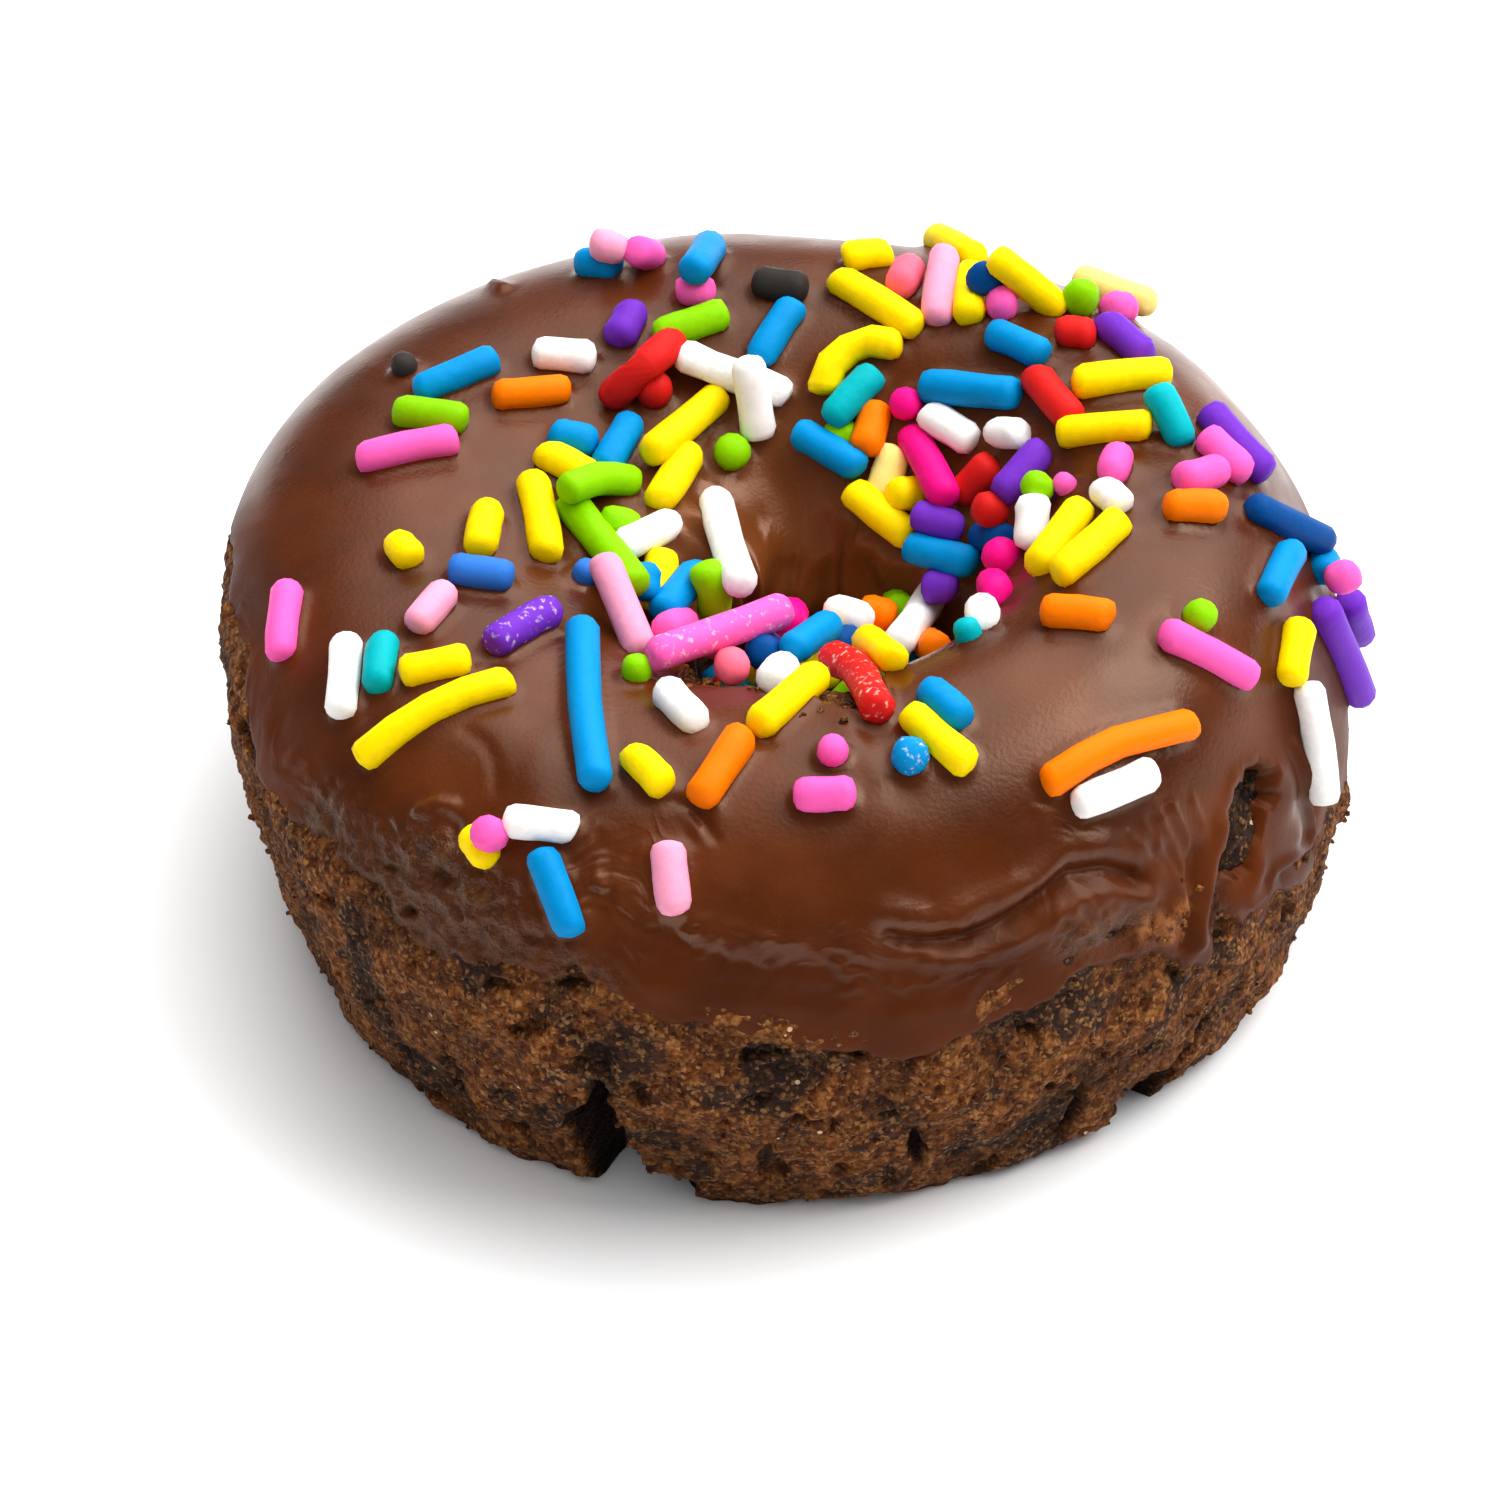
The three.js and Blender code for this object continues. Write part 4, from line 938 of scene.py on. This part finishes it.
def layPile(draw):
    look = pileLook
    holeX, holeY = form["shiftX"] + form["holeX"], form["shiftY"] + form["holeY"]
    done, tries = 0, 0
    while done < look["count"] and tries < sprinkleLook["mostTries"]:
        tries += 1
        angle, reach = math.radians(draw.uniform(*look["angles"])), draw.uniform(*look["reach"])
        middle = Vector((holeX + reach * math.cos(angle), holeY + reach * math.sin(angle),
                         draw.uniform(*look["height"])))
        heading = Vector([draw.gauss(0, spread) for spread in (1, 1, look["steepness"])]).normalized()
        radius = sprinkleLook["radius"] * draw.uniform(*sprinkleLook["hiddenThinToThick"])
        half = draw.uniform(*look["halfLength"])
        colour, shade = draw.choice(pileColours), draw.uniform(-1, 1)
        spots = [middle + heading * half * share for share in (-1, -0.5, 0, 0.5, 1)]
        gap = min(clearance(spot, radius) for spot in spots)
        if not look["gap"][0] <= gap <= look["gap"][1]:
            continue
        if not all(covered(spot + side) for spot in spots[::2] for side in (eyeUp, eyeRight, -eyeRight)):
            continue
        addLaid(colour, through([np.array(spot) for spot in spots[::2]], 3), radius, shade)
        done += 1
    return done


def sweptRod(line, radius, ball, draw):  # the rod's points laid along a line
    look = sprinkleLook
    across, lift, height = rodPoints.T
    steps = np.concatenate([[0], np.cumsum(np.linalg.norm(np.diff(line, axis=0), axis=1))])
    full = steps[-1]
    straight = look["halfLength"] - look["cap"]
    endCap = np.sign(height) * np.clip(np.abs(height) - straight, 0, None)
    body = np.clip(height / straight, -1, 1)
    bodyHalf = full / 2 + radius * (1 - look["cap"])  # the ends stand a radius beyond the line
    along = full / 2 + body * bodyHalf + endCap * radius
    onLine = np.clip(along, 0, full)

    def lineAt(place):
        return np.stack([np.interp(np.clip(place, 0, full), steps, line[:, k]) for k in range(3)], -1)

    ahead = lineAt(onLine + 0.3) - lineAt(onLine - 0.3)
    ahead /= np.maximum(np.linalg.norm(ahead, axis=1), 1e-9)[:, None]
    side = np.cross(ahead, np.array([0.31, 0.17, 0.93]))
    side /= np.linalg.norm(side, axis=1)[:, None]
    phase, waves = draw.uniform(0, 6.3), draw.uniform(1.2, 2.2)
    slant = [draw.gauss(0, look["slant"]) for _ in range(4)]  # the ends aren't cut quite square
    slanted = np.where(body > 0, slant[0] * across + slant[1] * lift, slant[2] * across + slant[3] * lift)
    centre = lineAt(onLine) + ahead * (along - onLine + np.abs(body) ** 3 * slanted)[:, None]
    thick = radius * (1 + look["swell"] * np.sin(phase + waves * body * 2)) \
        * (1 + draw.uniform(-1, 1) * look["taper"] * body)
    points = centre + (side * across[:, None] + np.cross(side, ahead) * lift[:, None]) * thick[:, None]
    if ball:
        middle = line.mean(0)
        away = points - middle
        reach = np.linalg.norm(away, axis=1, keepdims=True)
        points = middle + away / reach * (reach + (radius - reach) * look["ballRound"])
    return points


def makeSprinkles():
    draw = random.Random(5)
    made = []
    for name in sprinkleColours:
        copies = []
        for laid in Laid.placed:
            if laid["colour"] != name:
                continue
            points = sweptRod(laid["line"], laid["radius"], laid["ball"], draw)
            rough = sprinkleLook["rough"] + sprinkleLook["roughWithGrit"] * laid["grit"]
            bumps = noiseVectors(points, sprinkleLook["roughSize"], (3.0, 9.0, 15.0))
            copy = copyOf(rod)
            setPoints(copy, points + bumps * rough)
            for key in ("shade", "grit"):
                setAttribute(copy, key, np.full(len(points), laid[key]))
            copies.append(copy)
        if copies:
            made.append(joined(copies, "sprinkles_" + name))
    bpy.data.objects.remove(rod)
    return made


laying = random.Random(11)
for entry in laidSprinkles:
    layPictured(entry, laying)
hiddenLaid = layHidden(random.Random(hiddenLook["seed"]))
piled = layPile(random.Random(pileLook["seed"]))
print("sprinkles laid:", len(laidSprinkles), "pictured,", hiddenLaid, "hidden,", piled, "in the pile")
sprinkles = makeSprinkles()
print("sprinkle pieces:", len(sprinkles))

# frosting drawn up against the sprinkles, in mm
meniscus = {"high": 0.24, "wide": 0.38, "endsAt": 1.2}


def makeFrosting():
    samples, radii = [], []
    for laid in Laid.placed:
        finer = through(list(laid["line"]), 2) if len(laid["line"]) > 2 else laid["line"]
        samples.extend(finer)
        radii.extend([laid["radius"]] * len(finer))
    tree = KDTree(len(samples))
    for index, sample in enumerate(samples):
        tree.insert(sample, index)
    tree.balance()
    rise = []
    for point in frostingPoints.reshape(-1, 3).tolist():
        _, nearest, distance = tree.find(point)
        gap = distance - radii[nearest]
        rise.append(meniscus["high"] * bellCurve(gap, meniscus["wide"]) if gap < meniscus["endsAt"] else 0.0)
    raised = frostingPoints + frostingOut * np.array(rise).reshape(frostingPoints.shape[:2])[..., None]
    blank = np.zeros(frostingUnder.shape[:2])
    attributes = {key: np.concatenate([mask, blank], 1) for key, mask in frostingMasks.items()}
    flowUnder = np.repeat(frostingFlow[:, -1:], frostingUnder.shape[1], 1)
    attributes["flow"] = np.concatenate([frostingFlow, flowUnder], 1)
    return sheetRing("chocolate_frosting", np.concatenate([raised, frostingUnder], 1), attributes)


frosting = makeFrosting()
print("frosting made:", len(frosting.data.polygons), "faces")

# loose crumbs over the bare side, at the torn end of the fold and in the hole: radii in mm, paths in pixels
crumbLook = {"count": 280, "seed": 8, "size": (0.11, 0.24), "sunk": 0.02, "belowEdge": 0.6,
             "groupSize": (0.12, 0.32), "groups": (
                 ([(1150, 934), (1172, 934), (1184, 918), (1186, 898), (1176, 884)], 6, 0.55),
                 ([(690, 672), (730, 690), (830, 704), (880, 712)], 30, 0.9))}


def makeCrumbs():
    look = crumbLook
    draw = random.Random(look["seed"])
    spots = []
    for _ in range(look["count"]):
        angle = np.array(draw.uniform(0, 360))
        height = (stationValue(frostingEdge, angle) - look["belowEdge"]) * draw.random()
        spots.append((formAt(angle, turnAtHeight(angle, height))[0], draw.uniform(*look["size"])))
    for pixels, count, spread in look["groups"]:
        path = onForm(pixels)
        for _ in range(count):
            k = draw.randrange(len(path) - 1)
            spot = path[k] + (path[k + 1] - path[k]) * draw.random()
            spot = spot + np.array([draw.gauss(0, spread) for _ in range(3)])
            spots.append((spot, draw.uniform(*look["groupSize"])))
    deselectAll()
    bpy.ops.mesh.primitive_ico_sphere_add(subdivisions=2, radius=1)
    seedling = bpy.context.object
    ball = np.array([v.co for v in seedling.data.vertices])
    copies = []
    for index, (spot, size) in enumerate(spots):
        hits = [tree.find_nearest(Vector(spot)) for tree in (cakeTree, frostingTree)]
        nearest = min(hits, key=lambda hit: hit[3])
        lumps = 1 + 1.1 * noiseAt(ball + index * 7.0, 0.9)
        shape = ball * lumps[:, None] * np.array([1, draw.uniform(0.6, 1.1), draw.uniform(0.6, 1)]) * size
        points = shape + np.array(nearest[0] + nearest[1] * size * look["sunk"])
        points[:, 2] = np.maximum(points[:, 2], 0.02)
        copy = copyOf(seedling)
        setPoints(copy, points)
        setAttribute(copy, "relief", np.full(len(points), draw.uniform(-0.25, 0.35)))
        copies.append(copy)
    bpy.data.objects.remove(seedling)
    piece = joined(copies, "loose_crumbs")
    bpy.ops.object.shade_smooth()
    return piece


crumbs = makeCrumbs()
print("crumbs made:", len(crumbs.data.polygons), "faces")


def newMaterial(name):
    material = bpy.data.materials.new(name)
    material.use_nodes = True
    tree = material.node_tree
    return material, tree, tree.nodes["Principled BSDF"].inputs


def fill(tree, sockets, values):  # a socket is linked, a colour or number is set
    for name, value in values.items():
        if isinstance(value, bpy.types.NodeSocket):
            tree.links.new(value, sockets[name])
        else:
            sockets[name].default_value = paint(value) if isinstance(value, str) else value


def addNode(tree, kind, inputs, gives=None, stops=None, **settings):
    # a node with its settings, values and links; what it gives is its first output in use, or a named one
    node = tree.nodes.new("ShaderNode" + kind)
    for name, value in settings.items():
        setattr(node, name, value)
    if stops:
        ramp = node.color_ramp.elements
        while len(ramp) < len(stops):
            ramp.new(0.5)
        for element, (place, colour) in zip(ramp, stops):
            element.position = place
            element.color = paint(colour) if isinstance(colour, str) else (colour, colour, colour, 1)
    fill(tree, node.inputs, inputs)
    return node.outputs[gives] if gives else next(socket for socket in node.outputs if socket.enabled)


def perMetre(mm):  # texture scale that gives features of this size
    return 1000 / mm


# Baked chocolate cake: an open, dry crumb. Matt, with brown grains, charcoal patches and a few pale specks.
# In this material and the next two, a noise is its size in mm, its detail and its roughness.
bakedCrumb = {
    "dark": "#301302", "deep": "#50260a", "mid": "#6a3911", "light": "#92572a", "grain": "#b8824e",
    # black: painted shadow, put on the inside of the cracks
    "char": "#281a16", "black": "#190a05", "speck": "#e0c29a", "grainSize": 0.28, "speckSize": 0.9,
    "pushed": 0.00045, "charBy": 0.15, "speckShare": 0.965, "speckWide": 0.17,
    "noises": {"patches": (4.2, 4.0, 0.65), "mottle": (0.8, 5.0, 0.62), "push": (0.448, 2.0, 0.5),
               "fine": (0.32, 3.0, 0.7)},
    "finish": {"Roughness": 0.82, "Specular IOR Level": 0.14},
    "bump": {"Strength": 0.9, "Distance": 0.00022},
}


def bakedCrumbMaterial(name, looseCrumb):
    look = bakedCrumb
    material, tree, shader = newMaterial(name)
    place = addNode(tree, "TexCoord", {}, "Object")
    patches, mottle, push, fine = [
        addNode(tree, "TexNoise", {"Vector": place, "Scale": perMetre(size), "Detail": detail,
                                   "Roughness": rough}) for size, detail, rough in look["noises"].values()]
    charred, relief, crack = [addNode(tree, "Attribute", {}, "Fac", attribute_name=name)
                              for name in ("charred", "relief", "crack")]
    # grains of uneven outline: their cells are looked up at a place that is pushed about
    uneven = addNode(tree, "VectorMath", {0: push.node.outputs["Color"], 1: (look["pushed"],) * 3, 2: place},
                     operation="MULTIPLY_ADD")
    grains = addNode(tree, "TexVoronoi", {"Vector": uneven, "Scale": perMetre(look["grainSize"])})
    base = addNode(tree, "ValToRGB", {"Fac": mottle}, stops=[
        (0.31, look["dark"]), (0.42, look["deep"]), (0.52, look["mid"]), (0.65, look["light"])])
    burning = addNode(tree, "Math", {0: charred, 1: look["charBy"], 2: patches}, operation="MULTIPLY_ADD")
    burnt = addNode(tree, "ValToRGB", {"Fac": burning}, stops=[(0.54, 0.0), (0.61, 0.88)])
    # some grains are lighter, more orange crumbs, others dark pits between them
    dot = addNode(tree, "MapRange", {"Value": grains, "From Min": 0.80, "From Max": 0.40})
    picked = []
    for channel, stops in (("Red", [(0.46, 0.0), (0.98, 0.62)]), ("Blue", [(0.66, 0.0), (0.92, 0.85)])):
        pick = addNode(tree, "SeparateColor", {"Color": grains.node.outputs["Color"]}, channel)
        some = addNode(tree, "ValToRGB", {"Fac": pick}, stops=stops)
        picked.append(addNode(tree, "Math", {0: some, 1: dot}, operation="MULTIPLY"))
    specks = addNode(tree, "TexVoronoi", {"Vector": place, "Scale": perMetre(look["speckSize"])})
    pick = addNode(tree, "SeparateColor", {"Color": specks.node.outputs["Color"]}, "Green")
    few = addNode(tree, "Math", {0: pick, 1: look["speckShare"]}, operation="GREATER_THAN")
    near = addNode(tree, "Math", {0: specks, 1: look["speckWide"]}, operation="LESS_THAN")
    speck = addNode(tree, "Math", {0: few, 1: near}, operation="MULTIPLY")
    colour = base
    for mask, over in ((burnt, "char"), (picked[0], "grain"), (picked[1], "dark"), (speck, "speck")):
        colour = addNode(tree, "Mix", {"Factor": mask, "A": colour, "B": look[over]}, data_type="RGBA")
    # painted shade and light: hollows between crumbs, cracks and the window painted darker, tops lighter;
    # loose crumbs get a random tone
    depth = addNode(tree, "MapRange", {"Value": relief, "From Min": -0.75, "From Max": 0.35,
                                       "To Min": 0.22, "To Max": 1.18})
    colour = addNode(tree, "Mix", {"Factor": 1.0, "A": colour, "B": depth}, data_type="RGBA",
                     blend_type="MULTIPLY")
    # painted shadow: the inside of each crack is painted near black
    if not looseCrumb:
        colour = addNode(tree, "Mix", {"Factor": crack, "A": colour, "B": look["black"]}, data_type="RGBA")
    grit = addNode(tree, "Math", {0: fine, 1: grains}, operation="SUBTRACT")
    bump = addNode(tree, "Bump", {"Height": grit, **look["bump"]})
    fill(tree, shader, {"Base Color": colour, "Normal": bump, **look["finish"]})
    return material


# Set chocolate frosting: poured soft and left to set, so it is smooth and satin, with a dull skin
# that wrinkles where it was still moving.
setFrosting = {
    "deep": "#401905", "mid": "#4c1f05", "pale": "#58270b", "torn": "#9a6138", "tornDark": "#54290f",
    # wall: a paler brown painted on the hole's inner wall, painted light
    "wall": "#683717", "thinDark": "#2b1409", "thinMid": "#43230f", "thinPale": "#5c381c",
    "sheen": "#ffd9be",
    "noises": {"mottle": (7.0, 3.0, 0.5), "crumbly": (0.8, 4.0, 0.7), "gloss": (2.6, 2.0, 0.5),
               "pebble": (0.28, 2.0, 0.5)},
    "thinShows": 0.7, "rougher": 0.24, "index": 1.42, "drawn": (0.38, 0.38, 0.85),
    "pebbleBump": {"Strength": 0.10, "Distance": 0.0002}, "crumbHigh": 0.00035, "wrinkleHigh": 0.00004,
}


def frostingMaterial():
    look = setFrosting
    material, tree, shader = newMaterial("set chocolate frosting, poured")
    place = addNode(tree, "TexCoord", {}, "Object")
    mottle, crumbly, gloss, pebble = [
        addNode(tree, "TexNoise", {"Vector": place, "Scale": perMetre(size), "Detail": detail,
                                   "Roughness": rough}) for size, detail, rough in look["noises"].values()]
    pale, thin, torn, dull, wrinkled, streaked = [
        addNode(tree, "Attribute", {}, "Fac", attribute_name=name)
        for name in ("pale", "thin", "torn", "dull", "wrinkled", "streaked")]
    base = addNode(tree, "ValToRGB", {"Fac": mottle}, stops=[
        (0.34, look["deep"]), (0.52, look["mid"]), (0.70, look["pale"])])
    through = addNode(tree, "ValToRGB", {"Fac": crumbly}, stops=[
        (0.36, look["thinDark"]), (0.52, look["thinMid"]), (0.68, look["thinPale"])])
    tornGrain = addNode(tree, "ValToRGB", {"Fac": crumbly}, stops=[
        (0.38, look["tornDark"]), (0.58, look["torn"])])
    showing = addNode(tree, "Math", {0: thin, 1: look["thinShows"]}, operation="MULTIPLY")
    colour = base
    # pale is painted light on the hole's inner wall; the others are the crumb showing through thin frosting
    # and the torn grain
    for mask, over in ((pale, look["wall"]), (showing, through), (torn, tornGrain)):
        colour = addNode(tree, "Mix", {"Factor": mask, "A": colour, "B": over}, data_type="RGBA")
    # the thin skirt near the edge has dried duller than the thick top
    smoothness = addNode(tree, "MapRange", {"Value": gloss, "From Min": 0.3, "From Max": 0.7,
                                            "To Min": 0.23, "To Max": 0.34})
    roughness = addNode(tree, "Math", {0: dull, 1: look["rougher"], 2: smoothness}, operation="MULTIPLY_ADD")
    shine = addNode(tree, "MapRange", {"Value": dull, "To Min": 0.66, "To Max": 0.14})
    # satin skin: a fine pebbling everywhere
    normal = addNode(tree, "Bump", {"Height": pebble, **look["pebbleBump"]})
    # where it is thin the crumb below shows through it, and the torn end is crumbly itself
    crumbed = addNode(tree, "Math", {0: torn, 1: thin}, operation="ADD", use_clamp=True)
    normal = addNode(tree, "Bump", {"Height": crumbly, "Strength": crumbed, "Distance": look["crumbHigh"],
                                    "Normal": normal})
    # drawn-out wrinkles where the masks say
    flow = addNode(tree, "Attribute", {}, "Vector", attribute_name="flow")
    drawn = addNode(tree, "Mapping", {"Vector": flow, "Scale": look["drawn"]})
    drawnNoise = addNode(tree, "TexNoise", {"Vector": drawn, "Scale": 1.0, "Detail": 1.0, "Distortion": 0.4})
    fromMiddle = addNode(tree, "Math", {0: drawnNoise, 1: 0.5}, operation="SUBTRACT")
    apart = addNode(tree, "Math", {0: fromMiddle}, operation="ABSOLUTE")
    wrinkles = addNode(tree, "MapRange", {"Value": apart, "From Min": 0.0, "From Max": 0.22,
                                          "To Min": 1.0, "To Max": 0.0})
    amount = addNode(tree, "Math", {0: wrinkled, 1: streaked}, operation="ADD")
    normal = addNode(tree, "Bump", {"Height": wrinkles, "Strength": amount, "Distance": look["wrinkleHigh"],
                                    "Normal": normal})
    fill(tree, shader, {"Base Color": colour, "Roughness": roughness, "Specular IOR Level": shine,
                        "IOR": look["index"], "Specular Tint": look["sheen"], "Normal": normal})
    return material


# Sugar sprinkles: extruded confectioner's rods with a thin waxy glaze. Opaque, even colour, soft gloss.
sprinkleFinish = {
    "noises": {"mottle": (0.55, 4.0, 0.6), "dust": (0.4, 3.0, 0.5)}, "deepest": 0.9, "shadeBy": 0.16,
    "dust": "#f0dcd0", "finish": {"Roughness": 0.48, "Specular IOR Level": 0.16, "IOR": 1.3},
    "bump": {"Strength": 0.25, "Distance": 0.00015},
}


def sprinkleMaterial(name, colour):
    look = sprinkleFinish
    material, tree, shader = newMaterial("glazed sugar sprinkle, " + name.replace("_", " "))
    place = addNode(tree, "TexCoord", {}, "Object")
    mottle, dust = [
        addNode(tree, "TexNoise", {"Vector": place, "Scale": perMetre(size), "Detail": detail,
                                   "Roughness": rough}) for size, detail, rough in look["noises"].values()]
    shade, grit = [addNode(tree, "Attribute", {}, "Fac", attribute_name=name) for name in ("shade", "grit")]
    full = paint(colour)
    deep = (*[channel * look["deepest"] for channel in full[:3]], 1)
    total = addNode(tree, "Math", {0: shade, 1: look["shadeBy"], 2: mottle}, operation="MULTIPLY_ADD")
    mixed = addNode(tree, "MapRange", {"Value": total, "From Min": 0.3, "From Max": 0.6})
    # where sugar dust or frosting sticks
    dusty = addNode(tree, "ValToRGB", {"Fac": dust}, stops=[(0.58, 0.0), (0.72, 0.6)])
    onGrit = addNode(tree, "Math", {0: dusty, 1: grit}, operation="MULTIPLY")
    body = deep
    for mask, over in ((mixed, full), (onGrit, look["dust"])):
        body = addNode(tree, "Mix", {"Factor": mask, "A": body, "B": over}, data_type="RGBA")
    bump = addNode(tree, "Bump", {"Height": mottle, **look["bump"]})
    fill(tree, shader, {"Base Color": body, "Normal": bump, **look["finish"]})
    return material


finishes = {cake: bakedCrumbMaterial("baked chocolate cake, open crumb", False),
            crumbs: bakedCrumbMaterial("baked chocolate cake, loose crumb", True),
            frosting: frostingMaterial()}
for piece in sprinkles:
    name = piece.name.replace("sprinkles_", "")
    finishes[piece] = sprinkleMaterial(name, sprinkleColours[name])
for piece, material in finishes.items():
    piece.data.materials.clear()
    piece.data.materials.append(material)
print("materials made")

for piece in finishes:
    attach(piece, "root")
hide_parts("cake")
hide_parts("frosting")
for piece in sprinkles:  # they stand for the heap in the hole too
    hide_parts("sprinkle_heap")

# places and sizes in metres, power in watts; the sky is bright above and to one side, dark on the other
studio = {
    "floor": "#f8f8f8", "skyDark": 0.14, "skyBright": 3.2, "brightSide": (0.32, 0.46, 0.83),
    "darkUpTo": 0.64, "brightFrom": 0.94, "aim": (0, 0, 0.01),
    "lights": {"key": ((0.56, 0.02, 0.70), 0.6, 5.0), "back": ((0.02, 0.62, 0.78), 0.9, 4.4),
               "fill": ((-0.12, -0.50, 0.94), 0.9, 4.6)},
}


def addSoftLight(name, place, size, power):
    bpy.ops.object.light_add(type="AREA", location=place)
    lamp = bpy.context.object
    lamp.name = name
    lamp.data.shape = "SQUARE"
    lamp.data.size = size
    lamp.data.energy = power
    lamp.rotation_mode = "QUATERNION"
    lamp.rotation_quaternion = (Vector(studio["aim"]) - Vector(place)).to_track_quat("-Z", "Y")
    lamp.visible_glossy = name == "key"  # the others lift the shade without a highlight


def makeStudio():
    deselectAll()
    bpy.ops.mesh.primitive_plane_add(size=12, location=(0, 0, 0))
    floor = bpy.context.object
    floor.name = "studio_floor"
    material, tree, shader = newMaterial("matt white studio board")
    fill(tree, shader, {"Base Color": studio["floor"], "Roughness": 0.9, "Specular IOR Level": 0.1})
    floor.data.materials.append(material)
    for name, (place, size, power) in studio["lights"].items():
        addSoftLight(name, place, size, power)
    scene = bpy.context.scene
    scene.world = bpy.data.worlds.new("studio")
    scene.world.use_nodes = True
    tree = scene.world.node_tree
    way = addNode(tree, "TexCoord", {}, "Generated")
    side = addNode(tree, "VectorMath", {0: way, 1: studio["brightSide"]}, operation="DOT_PRODUCT")
    level = addNode(tree, "MapRange", {"Value": side, "From Min": studio["darkUpTo"],
                                       "From Max": studio["brightFrom"], "To Min": studio["skyDark"],
                                       "To Max": studio["skyBright"]})
    fill(tree, tree.nodes["Background"].inputs, {"Color": (1, 1, 1, 1), "Strength": level})
    scene.view_settings.view_transform = "Standard"
    scene.view_settings.look = "None"


makeStudio()
print("studio ready")
